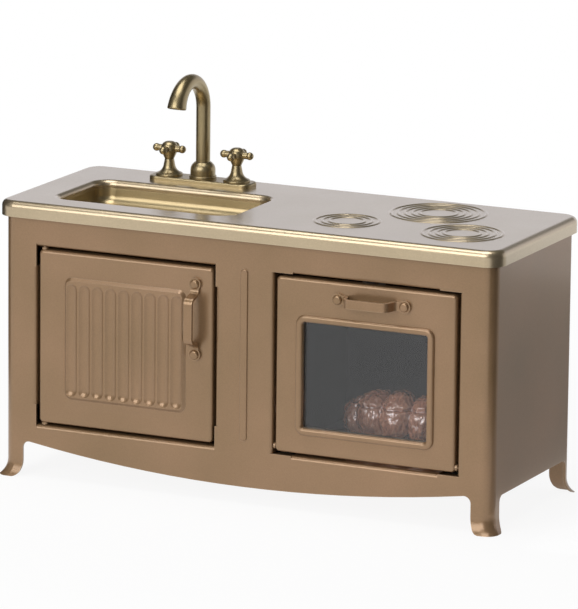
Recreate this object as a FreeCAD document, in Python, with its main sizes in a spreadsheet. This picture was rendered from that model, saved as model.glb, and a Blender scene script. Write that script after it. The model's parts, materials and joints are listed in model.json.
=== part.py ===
import FreeCAD
import Part
import Sketcher
import math
import os
import re
from types import SimpleNamespace
from FreeCAD import Placement, Rotation, Vector

# Doll's tin kitchen: a pressed sheet cabinet with a hinged cupboard door, a drop-down oven door,
# a worktop with a sink and hob rings, and a tap with a swivelling spout and two cross handles.
# The front faces -Y, and places are measured from the middle of the cabinet on the table.

DIMENSIONS = {
    "cabinet_width": 180.0,
    "cabinet_depth": 67.0,
    "worktop_height": 95.1,
    "sheet_thickness": 0.8,
    "front_bend_radius": 4.2,
    "rear_bend_radius": 3.2,
    "rear_return_flat": 4.0,
    "side_edge_height": 11.8,
    "apron_low": 5.9,
    "apron_end": 12.7,
    "leg_width": 7.2,
    "rear_leg_flat": 0.7,
    "leg_fillet": 2.4,
    "foot_bend_height": 5.6,
    "toe_reach": 2.15,
    "toe_round": 1.4,
    "opening_inner": 10.6,
    "stile_width": 12.3,
    "header_height": 9.6,
    "opening_sill": 18.5,
    "opening_corner": 0.9,
    "flange_depth": 6.0,
    "flange_relief": 7.0,
    "flange_fold_round": 1.4,
    "rib_width": 2.7,
    "rib_rise": 0.6,
    "rib_foot_gap": 3.1,
    "rib_edge_round": 0.45,
    "door_gap": 1.0,
    "door_depth": 4.0,
    "door_corner": 1.5,
    "door_edge_round": 1.2,
    "hinge_inset": 1.6,
    "hinge_setback": 1.6,
    "pin_radius": 0.55,
    "pin_clearance": 0.05,
    "pin_collar_radius": 1.1,
    "pin_collar_height": 0.7,
    "pin_root": 3.0,
    "pin_tail": 0.5,
    "panel_side_margin": 9.9,
    "panel_top_margin": 8.5,
    "panel_foot_margin": 9.2,
    "panel_corner": 2.6,
    "panel_rise": 1.1,
    "panel_bevel": 1.0,
    "flute_ridge": 0.62,
    "flute_width": 4.3,
    "flute_depth": 0.8,
    "flute_side_margin": 0.3,
    "flute_top_margin": 2.0,
    "flute_foot_margin": 1.3,
    "window_side_margin": 10.05,
    "window_top_margin": 14.6,
    "window_foot_margin": 9.2,
    "window_corner": 0.8,
    "rim_width": 2.5,
    "rim_rise": 1.2,
    "rim_round": 1.05,
    "pane_thickness": 1.0,
    "pane_lap": 1.2,
    "retainer_width": 3.2,
    "retainer_thickness": 0.8,
    "seat_clearance": 0.1,
    "grip_spacing": 24.0,
    "grip_leg_run": 1.4,
    "grip_standoff": 6.2,
    "grip_foot_length": 3.0,
    "strap_width": 3.0,
    "strap_thickness": 1.0,
    "strap_bend_radius": 1.7,
    "grip_disc_radius": 2.15,
    "cupboard_grip_inset": 6.3,
    "cupboard_grip_drop": 17.8,
    "oven_grip_drop": 5.7,
    "oven_grip_shift": 2.2,
    "rivet_radius": 0.7,
    "rivet_head_radius": 1.65,
    "rivet_head_height": 0.9,
    "rivet_tail_height": 0.5,
    "worktop_overhang": 2.1,
    "lip_height": 5.3,
    "lip_sheet": 0.8,
    "worktop_edge_round": 2.2,
    "sink_side_margin": 13.45,
    "sink_centre_margin": 11.05,
    "sink_front_margin": 10.6,
    "sink_rear_margin": 21.0,
    "sink_corner": 5.5,
    "sink_roll": 1.8,
    "sink_roll_depth": 2.6,
    "sink_depth": 8.0,
    "sink_floor_round": 3.2,
    "sink_taper": 6.0,
    "back_hob_radius": 16.7,
    "right_hob_radius": 14.1,
    "left_hob_radius": 11.5,
    "hob_ring_pitch": 2.4,
    "hob_core_radius": 4.5,
    "hob_ring_width": 1.5,
    "hob_ring_rise": 0.25,
    "tap_inset": 9.3,
    "tap_spread": 12.8,
    "plate_length": 38.4,
    "plate_width": 9.4,
    "plate_thickness": 1.5,
    "plate_corner": 3.2,
    "plate_edge_round": 0.6,
    "collar_radius": 4.65,
    "collar_height": 5.7,
    "collar_ring_height": 1.1,
    "collar_step_width": 0.35,
    "collar_shoulder": 4.3,
    "collar_dome": 3.0,
    "spout_radius": 2.45,
    "spout_stem_radius": 1.7,
    "gooseneck_radius": 10.45,
    "gooseneck_sweep": 166.0,
    "spout_apex": 39.1,
    "apex_radius": 2.55,
    "outlet_radius": 3.3,
    "outlet_bore": 2.5,
    "outlet_bore_depth": 3.0,
    "outlet_round": 0.5,
    "washer_radius": 3.2,
    "washer_thickness": 0.8,
    "shaft_clearance": 0.05,
    "lift_clearance": 0.1,
    "cone_radius": 4.6,
    "cone_height": 5.6,
    "cone_foot_height": 0.7,
    "cone_flare": 3.4,
    "neck_radius": 1.6,
    "shank_radius": 1.8,
    "shank_length": 5.0,
    "nut_flats": 5.5,
    "nut_height": 1.6,
    "spindle_radius": 0.8,
    "spindle_head_radius": 1.35,
    "spindle_head_height": 0.4,
    "spindle_seat_depth": 2.6,
    "hub_radius": 2.85,
    "hub_height": 6.0,
    "hub_shoulder": 2.7,
    "hub_dome": 2.2,
    "arm_drop": 2.5,
    "arm_reach": 6.2,
    "arm_radius": 1.15,
    "ball_radius": 1.35,
    "floor_fold": 3.5,
    "fold_bend_radius": 1.0,
    "partition_fold": 6.0,
    "liner_sheet": 0.6,
    "liner_back_gap": 5.4,
    "catch_width": 8.0,
    "catch_leg": 8.0,
    "catch_drop": 4.6,
    "magnet_radius": 2.0,
    "magnet_gap": 0.3,
    "cupboard_catch_drop": 30.5,
    "bread_shift": -4.1,
    "bread_setback": 35.5,
    "bread_length": 39.0,
    "bread_height": 17.9,
    "bread_curve": 30.0,
}

ROUND_END_SHARE = 0.999
INNER_EDGE_SHARE = 0.6
RIVET_TAIL_SHARE = 1.4
RIVET_DOME_SHARE = 0.95
COLLAR_RING_ROUND_SHARE = 0.9
CONE_THROAT_SHARE = 1.5
HUB_WAIST_SHARE = 0.6
RIVET_HEIGHT_SHARES = (0.15, 0.5, 0.85)
HOB_PLACE_SHARES = {"back_hob": (0.54, 0.43), "right_hob": (0.765, -0.355),
                    "left_hob": (0.3, -0.345)}
TAP_HOLES = ((-1, "shank_radius + shaft_clearance"), (0, "spout_stem_radius + shaft_clearance"),
             (1, "shank_radius + shaft_clearance"))
NUT_SIDES = 6
NECK_STATIONS = 9
NECK_SWELL_POWER = 1.5
BREAD_ROLLS = 6
BREAD_OVERLAP_SHARE = 0.85
BREAD_WIDTH_SHARE = 0.95
BREAD_END_SHARE = 0.55

DERIVED = {
    "half_width": "cabinet_width / 2",
    "half_depth": "cabinet_depth / 2",
    "frame_shift": "(grip_standoff - max(toe_reach; worktop_overhang)) / 2",
    "deck_underside": "worktop_height - lip_sheet",
    "rear_return": "rear_bend_radius + rear_return_flat",
    "rear_leg_side_width": "rear_bend_radius + rear_leg_flat",
    "rivet_column_x": "half_width - rear_bend_radius - rear_return_flat / 2",
    "apron_strip_width": "cabinet_width - 2 * leg_width",
    "apron_strip_height": "apron_end - apron_low",
    "apron_strip_middle": "(apron_end + apron_low) / 2",
    "opening_width": "half_width - opening_inner - stile_width",
    "opening_top": "worktop_height - lip_height - header_height",
    "opening_height": "opening_top - opening_sill",
    "opening_middle_x": "opening_inner + opening_width / 2",
    "opening_middle_z": "opening_sill + opening_height / 2",
    "flange_low_z": "opening_sill - sheet_thickness / 2",
    "flange_high_z": "opening_top + sheet_thickness / 2",
    "flange_inner_x": "opening_inner - sheet_thickness / 2",
    "flange_outer_x": "opening_inner + opening_width + sheet_thickness / 2",
    "short_flange_width": "opening_width - 2 * flange_relief",
    "short_flange_height": "opening_height - 2 * flange_relief",
    "flange_end_y": "flange_depth - half_depth",
    "rib_low": "opening_sill + rib_foot_gap",
    "rib_height": "opening_top - rib_low",
    "rib_middle_z": "(opening_top + rib_low) / 2",
    "rib_end_round": f"{ROUND_END_SHARE} * rib_width / 2",
    "back_panel_width": "cabinet_width - 2 * (sheet_thickness + rear_bend_radius)",
    "back_panel_height": "deck_underside - side_edge_height",
    "back_panel_middle": "(deck_underside + side_edge_height) / 2",
    "floor_top": "opening_sill - sheet_thickness",
    "floor_underside": "floor_top - sheet_thickness",
    "floor_width": "cabinet_width - 2 * (sheet_thickness + seat_clearance)",
    "floor_depth": "cabinet_depth - 3 * sheet_thickness - 2 * seat_clearance",
    "floor_middle_y": "-sheet_thickness / 2",
    "floor_corner": "front_bend_radius - sheet_thickness",
    "floor_inner_width": "floor_width - 2 * sheet_thickness",
    "floor_inner_depth": "floor_depth - 2 * sheet_thickness",
    "floor_inner_corner": "floor_corner - sheet_thickness",
    "liner_width": "opening_width + 2 * sheet_thickness",
    "liner_height": "opening_height + 2 * sheet_thickness",
    "liner_depth": "cabinet_depth - flange_depth - 2 * sheet_thickness - liner_back_gap",
    "liner_inner_width": "liner_width - 2 * liner_sheet",
    "liner_inner_height": "liner_height - 2 * liner_sheet",
    "liner_inner_corner": "opening_corner / 2",
    "worktop_width": "cabinet_width + 2 * worktop_overhang",
    "worktop_depth": "cabinet_depth + 2 * worktop_overhang",
    "worktop_corner": "front_bend_radius + worktop_overhang",
    "worktop_inner_width": "worktop_width - 2 * lip_sheet",
    "worktop_inner_depth": "worktop_depth - 2 * lip_sheet",
    "worktop_inner_corner": "worktop_corner - lip_sheet",
    "sink_length": "half_width - sink_side_margin - sink_centre_margin",
    "sink_width": "cabinet_depth - sink_front_margin - sink_rear_margin",
    "sink_x": "(sink_side_margin - sink_centre_margin - half_width) / 2",
    "sink_y": "(sink_front_margin - sink_rear_margin) / 2",
    "sink_collar_length": "sink_length + 2 * lip_sheet",
    "sink_collar_width": "sink_width + 2 * lip_sheet",
    "sink_collar_corner": "sink_corner + lip_sheet",
    "sink_mouth_z": "worktop_height - sink_roll_depth",
    "basin_drop": "sink_depth + lip_sheet - sink_roll_depth",
    "tap_y": "half_depth - tap_inset",
    "door_width": "opening_width - 2 * door_gap",
    "door_height": "opening_height - 2 * door_gap",
    "door_bottom": "opening_sill + door_gap",
    "door_top": "opening_top - door_gap",
    "door_inner_width": "door_width - 2 * sheet_thickness",
    "door_inner_height": "door_height - 2 * sheet_thickness",
    "door_inner_corner": "door_corner - sheet_thickness",
    "hinge_y": "hinge_setback - half_depth",
    "cupboard_hinge_x": "hinge_inset - opening_middle_x - door_width / 2",
    "oven_hinge_z": "door_bottom + hinge_inset",
    "panel_width": "door_width - 2 * panel_side_margin",
    "panel_height": "door_height - panel_top_margin - panel_foot_margin",
    "panel_middle_z": "door_bottom + panel_foot_margin + panel_height / 2",
    "flute_pitch": "flute_width + flute_ridge",
    "window_width": "door_width - 2 * window_side_margin",
    "window_height": "door_height - window_top_margin - window_foot_margin",
    "window_middle_z": "door_bottom + window_foot_margin + window_height / 2",
    "bead_width": "window_width + 2 * rim_width",
    "bead_height": "window_height + 2 * rim_width",
    "bead_corner": "window_corner + rim_width",
    "pane_width": "window_width + 2 * pane_lap",
    "pane_height": "window_height + 2 * pane_lap",
    "rebate_width": "pane_width + 2 * seat_clearance",
    "rebate_height": "pane_height + 2 * seat_clearance",
    "retainer_frame_width": "window_width + 2 * retainer_width",
    "retainer_frame_height": "window_height + 2 * retainer_width",
    "retainer_frame_corner": "window_corner + retainer_width",
    "grip_bar_length": "grip_spacing - 2 * (grip_foot_length + grip_leg_run)",
    "cupboard_grip_x": "-opening_inner - door_gap - cupboard_grip_inset",
    "cupboard_grip_low": "door_top - cupboard_grip_drop - grip_spacing / 2",
    "cupboard_grip_high": "door_top - cupboard_grip_drop + grip_spacing / 2",
    "oven_grip_z": "door_top - oven_grip_drop",
    "oven_grip_left": "opening_middle_x + oven_grip_shift - grip_spacing / 2",
    "oven_grip_right": "opening_middle_x + oven_grip_shift + grip_spacing / 2",
    "magnet_thickness": "flange_depth - door_depth - magnet_gap",
    "magnet_edge_gap": "magnet_radius + seat_clearance",
    "bread_x": "opening_middle_x + bread_shift",
    "bread_y": "bread_setback - half_depth",
}
for hob, (across_share, back_share) in HOB_PLACE_SHARES.items():
    DERIVED[hob + "_x"] = f"{across_share} * half_width"
    DERIVED[hob + "_y"] = f"{back_share} * half_depth"

CUPBOARD_GRIP_FEET = (("cupboard_grip_x", "cupboard_grip_low"),
                      ("cupboard_grip_x", "cupboard_grip_high"))
OVEN_GRIP_FEET = (("oven_grip_left", "oven_grip_z"), ("oven_grip_right", "oven_grip_z"))


def bound(text, own_sheet=False):
    """Point the size names in an expression at the sheet that holds them."""
    def qualify(word):
        name = word.group()
        if name in DIMENSIONS:
            return "Dimensions." + name
        return "Derived." + name if name in DERIVED and not own_sheet else name
    return re.sub(r"[a-z][a-z_]+", qualify, text)


def fill_sheet(name, label, cells):
    """A spreadsheet of names and values, each value's cell known by its name."""
    sheet = document.addObject("Spreadsheet::Sheet", name)
    sheet.Label = label
    for row, (alias, content) in enumerate(cells.items(), start=1):
        sheet.set(f"A{row}", alias)
        sheet.set(f"B{row}", content)
        sheet.setAlias(f"B{row}", alias)
    document.recompute()
    return {alias: float(sheet.get(alias)) for alias in cells}


document = FreeCAD.newDocument("doll_kitchen")
driving = fill_sheet("Dimensions", "driving dimensions",
                     {alias: str(number) for alias, number in DIMENSIONS.items()})
derived = fill_sheet("Derived", "derived dimensions",
                     {alias: "=" + bound(formula, own_sheet=True)
                      for alias, formula in DERIVED.items()})
size = SimpleNamespace(**driving, **derived)

CLOSE = 1e-6
CENTRE = 3
PLANES = {"XY": "XY_Plane", "XZ": "XZ_Plane", "YZ": "YZ_Plane"}
PLAIN_SETTINGS = ("Type", "SideType", "Mode", "Base", "Join")


def new_body(label, x="0", y="0", z="0"):
    body = document.addObject("PartDesign::Body", label)
    body.Label = label
    body.setExpression("Placement.Base.x", bound(x))
    body.setExpression("Placement.Base.y", bound(f"{y} + frame_shift"))
    body.setExpression("Placement.Base.z", bound(z))
    return body


def new_sketch(body, name, plane, across="0", up="0", out="0"):
    """Attach a sketch to one of the body's own planes, moved across, up and out of it."""
    support = [item for item in body.Origin.OriginFeatures if item.Role == PLANES[plane]][0]
    sketch = body.newObject("Sketcher::SketchObject", name)
    sketch.AttachmentSupport = (support, [""])
    sketch.MapMode = "FlatFace"
    sketch.setExpression("AttachmentOffset.Base.x", bound(across))
    sketch.setExpression("AttachmentOffset.Base.y", bound(up))
    sketch.setExpression("AttachmentOffset.Base.z", bound(out))
    return sketch


def join_ends(sketch, first, count, kind):
    """Join each edge of a closed chain to the next, where their ends already meet."""
    joints = []
    for index in range(count):
        here, following = first + index, first + (index + 1) % count
        for end in (1, 2):
            for start in (1, 2):
                if sketch.getPoint(here, end).isEqual(sketch.getPoint(following, start), CLOSE):
                    joints.append(Sketcher.Constraint(kind, here, end, following, start))
    sketch.addConstraint(joints)


def draw(sketch, edges):
    """Add a closed chain of lines and arcs, with each end joined to the next edge."""
    first = sketch.GeometryCount
    sketch.addGeometry(edges)
    join_ends(sketch, first, len(edges), "Coincident")


def rounded_loop(corners):
    """Lines and tangent arcs round a closed polygon whose corners are (x, y, radius)."""
    count = len(corners)
    entries, exits, arcs = [], [], []
    for index, (x, y, radius) in enumerate(corners):
        here = Vector(x, y, 0)
        before = (Vector(*corners[index - 1][:2], 0) - here).normalize()
        after = (Vector(*corners[(index + 1) % count][:2], 0) - here).normalize()
        half_angle = before.getAngle(after) / 2
        reach = radius / math.tan(half_angle) if radius else 0
        entries.append(here + before * reach)
        exits.append(here + after * reach)
        if radius:
            inward = (before + after).normalize()
            middle = here + inward * (radius / math.sin(half_angle) - radius)
            arcs.append(Part.Arc(entries[-1], middle, exits[-1]))
        else:
            arcs.append(None)
    edges = []
    for index in range(count):
        if arcs[index]:
            edges.append(arcs[index])
        following = (index + 1) % count
        if not exits[index].isEqual(entries[following], CLOSE):
            edges.append(Part.LineSegment(exits[index], entries[following]))
    return edges


def rectangle(middle_x, middle_y, width, height, radius=0):
    left, right = middle_x - width / 2, middle_x + width / 2
    low, high = middle_y - height / 2, middle_y + height / 2
    return rounded_loop([(left, low, radius), (right, low, radius),
                         (right, high, radius), (left, high, radius)])


def folded_strip(points, radii, thickness):
    """Outline of a bent strip: one face follows the points, the other lies to their left."""
    path = [Vector(x, y, 0) for x, y in points]
    runs = [(end - start).normalize() for start, end in zip(path, path[1:])]
    lefts = [Vector(-run.y, run.x, 0) for run in runs]
    inner = []
    for index, point in enumerate(path):
        before, after = lefts[max(index - 1, 0)], lefts[min(index, len(lefts) - 1)]
        offset = (before + after) * (thickness / (1 + before.dot(after)))
        turn = math.copysign(1, before.cross(after).z)
        radius = radii[index] - turn * thickness if radii[index] else 0
        inner.append((point.x + offset.x, point.y + offset.y, radius))
    outer = [(point.x, point.y, radius) for point, radius in zip(path, radii)]
    return rounded_loop(outer + inner[::-1])


def bind_circle(sketch, radius, x="0", y="0"):
    """A circle whose radius and centre are bound to the sheet."""
    circle = sketch.addGeometry(Part.Circle(Vector(1, 1, 0), Vector(0, 0, 1), 1))
    for kind, where in (("DistanceX", x), ("DistanceY", y)):
        index = sketch.addConstraint(Sketcher.Constraint(kind, -1, 1, circle, CENTRE, 1.0))
        sketch.setExpression(f"Constraints[{index}]", bound(where))
    index = sketch.addConstraint(Sketcher.Constraint("Radius", circle, 1.0))
    sketch.setExpression(f"Constraints[{index}]", bound(radius))


def number(name):
    """The value of a named size, which may have a minus sign before it."""
    return -getattr(size, name[1:]) if name.startswith("-") else getattr(size, name)


def bind_distance(sketch, kind, start, end, name):
    """Hold one point from another by a named distance across or up the sketch."""
    value = 0.0 if name == "0" else number(name)
    index = sketch.addConstraint(Sketcher.Constraint(kind, *start, *end, value))
    sketch.setExpression(f"Constraints[{index}]", bound(name))


def bind_rectangle(sketch, width, height, x="0", y="0", corner=None):
    """A rectangle whose sides, middle and corner radius are named sizes."""
    first = sketch.GeometryCount
    middle_x, middle_y = (0 if name == "0" else number(name) for name in (x, y))
    radius = number(corner) if corner else 0
    edges = rectangle(middle_x, middle_y, number(width), number(height), radius)
    sketch.addGeometry(edges)
    join_ends(sketch, first, len(edges), "Tangent" if corner else "Coincident")
    added = range(first, first + len(edges))
    arcs, sides = (added[::2], added[1::2]) if corner else ([], added)
    bottom, right, top, left = sides
    for kind, pair in (("Horizontal", (bottom, top)), ("Vertical", (right, left))):
        for side in pair:
            sketch.addConstraint(Sketcher.Constraint(kind, side))
    middle = sketch.addGeometry(Part.Point(Vector(middle_x, middle_y, 0)), True)
    low, high = ((arcs[0], CENTRE), (arcs[2], CENTRE)) if corner else ((bottom, 1), (top, 1))
    sketch.addConstraint(Sketcher.Constraint("Symmetric", *low, *high, middle, 1))
    bind_distance(sketch, "DistanceX", (-1, 1), (middle, 1), x)
    bind_distance(sketch, "DistanceY", (-1, 1), (middle, 1), y)
    bind_distance(sketch, "DistanceX", (left, 1), (right, 1), width)
    bind_distance(sketch, "DistanceY", (bottom, 1), (top, 1), height)
    for arc in arcs[1:]:
        sketch.addConstraint(Sketcher.Constraint("Equal", arcs[0], arc))
    if corner:
        index = sketch.addConstraint(Sketcher.Constraint("Radius", arcs[0], radius))
        sketch.setExpression(f"Constraints[{index}]", bound(corner))


def feature(body, kind, name, profile=None, **settings):
    """Add a feature: text for a number is an expression, other settings are set as given."""
    item = body.newObject("PartDesign::" + kind, name)
    if profile:
        item.Profile = profile
    for setting, value in settings.items():
        if isinstance(value, str) and setting not in PLAIN_SETTINGS:
            item.setExpression(setting, bound(value))
        else:
            setattr(item, setting, value)
    document.recompute()
    if not item.isValid():
        raise RuntimeError(f"{name} failed: {item.getStatusString()}")
    return item


def edges_where(item, test):
    """Names of the edges whose shape passes the test."""
    return [f"Edge{index}" for index, edge in enumerate(item.Shape.Edges, start=1) if test(edge)]


def lies_at(item, axis, place):
    """Whether an edge or face lies in the plane where the named axis has this value."""
    box = item.BoundBox
    low, high = getattr(box, axis + "Min"), getattr(box, axis + "Max")
    return abs(low - place) < 1e-3 and abs(high - place) < 1e-3


def turned(label, corners, x, y, z):
    """A piece turned about an upright axis from (radius, height, rounding) corners."""
    body = new_body(label, x, y, z)
    sketch = new_sketch(body, label + "_profile", "XZ")
    draw(sketch, rounded_loop(corners))
    feature(body, "Revolution", label + "_turning", sketch, ReferenceAxis=(sketch, ["V_Axis"]))
    return body


def plain_part(label, shape):
    """A piece made with solid modelling alone, moved into the part's frame."""
    item = document.addObject("Part::Feature", label)
    item.Label = label
    item.Shape = shape
    item.Placement = Placement(Vector(0, size.frame_shift, 0), Rotation()) * shape.Placement
    return item


def turned_solid(corners, place, axis):
    """A turned solid from (radius, height, rounding) corners, with its height along an axis."""
    wire = Part.Wire([edge.toShape() for edge in rounded_loop(corners)])
    wire.rotate(Vector(0, 0, 0), Vector(1, 0, 0), 90)
    solid = Part.Face(wire).revolve(Vector(0, 0, 0), Vector(0, 0, 1), 360)
    solid.Placement = Placement(place, Rotation(Vector(0, 0, 1), axis))
    return solid


def leg_corners():
    """Name, side signs, bend radius and side width of the four legs."""
    front, rear = size.front_bend_radius, size.rear_bend_radius
    return [("front_left_leg", -1, -1, front, size.leg_width),
            ("front_right_leg", 1, -1, front, size.leg_width),
            ("rear_left_leg", -1, 1, rear, size.rear_leg_side_width),
            ("rear_right_leg", 1, 1, rear, size.rear_leg_side_width)]


def apron_arch():
    """The cut under the front: a long shallow arc with a fillet where it meets each leg."""
    edge_x = size.half_width - size.leg_width
    sag = size.apron_end - size.apron_low
    arc_radius = (edge_x ** 2 + sag ** 2) / (2 * sag)
    centre_z = size.apron_low + arc_radius
    fillet = size.leg_fillet
    fillet_x = edge_x - fillet
    fillet_z = centre_z - math.sqrt((arc_radius + fillet) ** 2 - fillet_x ** 2)
    towards = Vector(fillet_x, fillet_z - centre_z, 0).normalize()
    touch = Vector(0, centre_z, 0) + towards * arc_radius
    half_turn = (Vector(edge_x, fillet_z, 0) + touch) / 2 - Vector(fillet_x, fillet_z, 0)
    middle = Vector(fillet_x, fillet_z, 0) + half_turn.normalize() * fillet
    low = size.apron_low - size.foot_bend_height
    points = {"corner": Vector(edge_x, low, 0), "start": Vector(edge_x, fillet_z, 0),
              "middle": middle, "touch": touch}
    left = {name: Vector(-point.x, point.y, 0) for name, point in points.items()}
    return [Part.LineSegment(points["corner"], points["start"]),
            Part.Arc(points["start"], points["middle"], points["touch"]),
            Part.Arc(points["touch"], Vector(0, size.apron_low, 0), left["touch"]),
            Part.Arc(left["touch"], left["middle"], left["start"]),
            Part.LineSegment(left["start"], left["corner"]),
            Part.LineSegment(left["corner"], points["corner"])]


def leg_bend():
    """Radius of the arc that the feet curl along, and the arc's angle."""
    diagonal = size.toe_reach * math.sqrt(2)
    bend_radius = (diagonal ** 2 + size.foot_bend_height ** 2) / (2 * diagonal)
    return bend_radius, math.asin(size.foot_bend_height / bend_radius)


def add_legs(body):
    """Each corner of the sheet runs down and curls outward along a diagonal arc."""
    bend_radius, swept = leg_bend()
    for name, side_x, side_y, bend, side_width in leg_corners():
        corner_x, corner_y = side_x * size.half_width, side_y * size.half_depth
        section = new_sketch(body, name + "_section", "XY", out="foot_bend_height")
        points = [(corner_x - side_x * size.leg_width, corner_y), (corner_x, corner_y),
                  (corner_x, corner_y - side_y * side_width)]
        inside = -side_x * side_y * size.sheet_thickness
        draw(section, folded_strip(points, (0, bend, 0), inside))
        path = new_sketch(body, name + "_path", "XZ", across=f"{side_x} * cabinet_width / 2",
                          up="foot_bend_height", out=f"{-side_y} * cabinet_depth / 2")
        turn = math.degrees(math.atan2(side_y, side_x))
        offset = path.AttachmentOffset
        path.AttachmentOffset = Placement(offset.Base, Rotation(Vector(0, 1, 0), turn))
        circle = Part.Circle(Vector(bend_radius, 0, 0), Vector(0, 0, 1), bend_radius)
        path.addGeometry(Part.ArcOfCircle(circle, math.pi, math.pi + swept))
        feature(body, "AdditivePipe", name, section, Spine=path, Mode="Fixed")


def toe_corner(edge, side):
    """What is cut from the lower corner of a foot's wing, whose end stands at this edge."""
    bend_radius, _ = leg_bend()
    setback = size.toe_round
    drop = size.foot_bend_height - setback
    reach = (bend_radius - math.sqrt(bend_radius ** 2 - drop ** 2)) / math.sqrt(2)
    corner, along = Vector(edge, 0, 0), Vector(side, 0, 0)
    upward = Vector(side * (reach - size.toe_reach), setback, 0).normalize()
    half_angle = along.getAngle(upward) / 2
    radius = setback * math.tan(half_angle)
    middle = corner + (along + upward).normalize() * (radius / math.sin(half_angle) - radius)
    low, high = corner + along * setback, corner + upward * setback
    outside, bottom = edge - 2 * side * setback, -setback
    path = [low, Vector(low.x, bottom, 0), Vector(outside, bottom, 0),
            Vector(outside, high.y, 0), high]
    return [Part.LineSegment(start, end) for start, end in zip(path, path[1:])] + [
        Part.Arc(high, middle, low)]


def round_toes(body):
    front_view = new_sketch(body, "front_toe_corners", "XZ")
    side_view = new_sketch(body, "side_toe_corners", "YZ")
    for side in (-1, 1):
        edge = side * (size.half_width - size.leg_width + size.toe_reach)
        draw(front_view, toe_corner(edge, side))
    draw(side_view, toe_corner(-size.half_depth + size.leg_width - size.toe_reach, -1))
    draw(side_view, toe_corner(size.half_depth - size.rear_leg_side_width + size.toe_reach, 1))
    feature(body, "Pocket", "front_toe_rounding", front_view, Length="2 * cabinet_depth",
            SideType="Symmetric")
    feature(body, "Pocket", "side_toe_rounding", side_view, Length="2 * cabinet_width",
            SideType="Symmetric")


def add_opening_flanges(body):
    """The sheet turns in along the sides of each opening, short of the corners it must clear."""
    sketch = new_sketch(body, "flange_strips", "XZ", out="half_depth - sheet_thickness")
    for sign, level, upright in (("-", "opening_width", "short_flange_height"),
                                 ("", "short_flange_width", "opening_height")):
        for z in ("flange_low_z", "flange_high_z"):
            bind_rectangle(sketch, level, "sheet_thickness", sign + "opening_middle_x", z)
        for x in ("flange_inner_x", "flange_outer_x"):
            bind_rectangle(sketch, "sheet_thickness", upright, sign + x, "opening_middle_z")
    feature(body, "Pad", "opening_flanges", sketch, Length="flange_depth - sheet_thickness",
            Reversed=True)


def fold_corner(corner, depth, metal):
    """What is cut from a square fold to round it: depth and metal point into the sheet."""
    radius, margin = size.flange_fold_round, size.sheet_thickness
    front, inner = corner + metal * radius, corner + depth * radius
    middle = front + depth * radius - (depth + metal).normalize() * radius
    path = [inner, inner - metal * margin, corner - (depth + metal) * margin,
            front - depth * margin, front]
    return [Part.LineSegment(start, end) for start, end in zip(path, path[1:])] + [
        Part.Arc(front, middle, inner)]


def round_folds(body):
    """The folds of the flanges are round, and the plain sheet at the corners stays square."""
    across, up = Vector(1, 0, 0), Vector(0, 1, 0)
    for prefix, middle, level, upright in (
            ("cupboard", "-opening_middle_x", "opening_width", "short_flange_height"),
            ("oven", "opening_middle_x", "short_flange_width", "opening_height")):
        levels = new_sketch(body, prefix + "_level_folds", "YZ", out=middle)
        for z, metal in ((size.opening_sill, -up), (size.opening_top, up)):
            draw(levels, fold_corner(Vector(-size.half_depth, z, 0), across, metal))
        feature(body, "Pocket", prefix + "_level_rounding", levels, SideType="Symmetric",
                Length=level)
        uprights = new_sketch(body, prefix + "_upright_folds", "XY", out="opening_middle_z")
        for side in (-1, 1):
            edge_x = number(middle) + side * size.opening_width / 2
            draw(uprights, fold_corner(Vector(edge_x, -size.half_depth, 0), up, across * side))
        feature(body, "Pocket", prefix + "_upright_rounding", uprights, SideType="Symmetric",
                Length=upright)


def add_hinge_holes(body):
    holes = new_sketch(body, "cupboard_hinge_holes", "XY", out="worktop_height")
    bind_circle(holes, "pin_radius + pin_clearance", "cupboard_hinge_x", "hinge_y")
    feature(body, "Pocket", "cupboard_hinge_bores", holes, Length="worktop_height")
    holes = new_sketch(body, "oven_hinge_holes", "YZ", out="opening_middle_x")
    bind_circle(holes, "pin_radius + pin_clearance", "hinge_y", "oven_hinge_z")
    feature(body, "Pocket", "oven_hinge_bores", holes, SideType="Symmetric",
            Length="opening_width + 4 * sheet_thickness")


def rear_rivet_places():
    """Places of the rivets that hold the back panel, up both rear returns."""
    return [(f"{side} * rivet_column_x",
             f"side_edge_height + {share} * (deck_underside - side_edge_height)")
            for side in (-1, 1) for share in RIVET_HEIGHT_SHARES]


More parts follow.
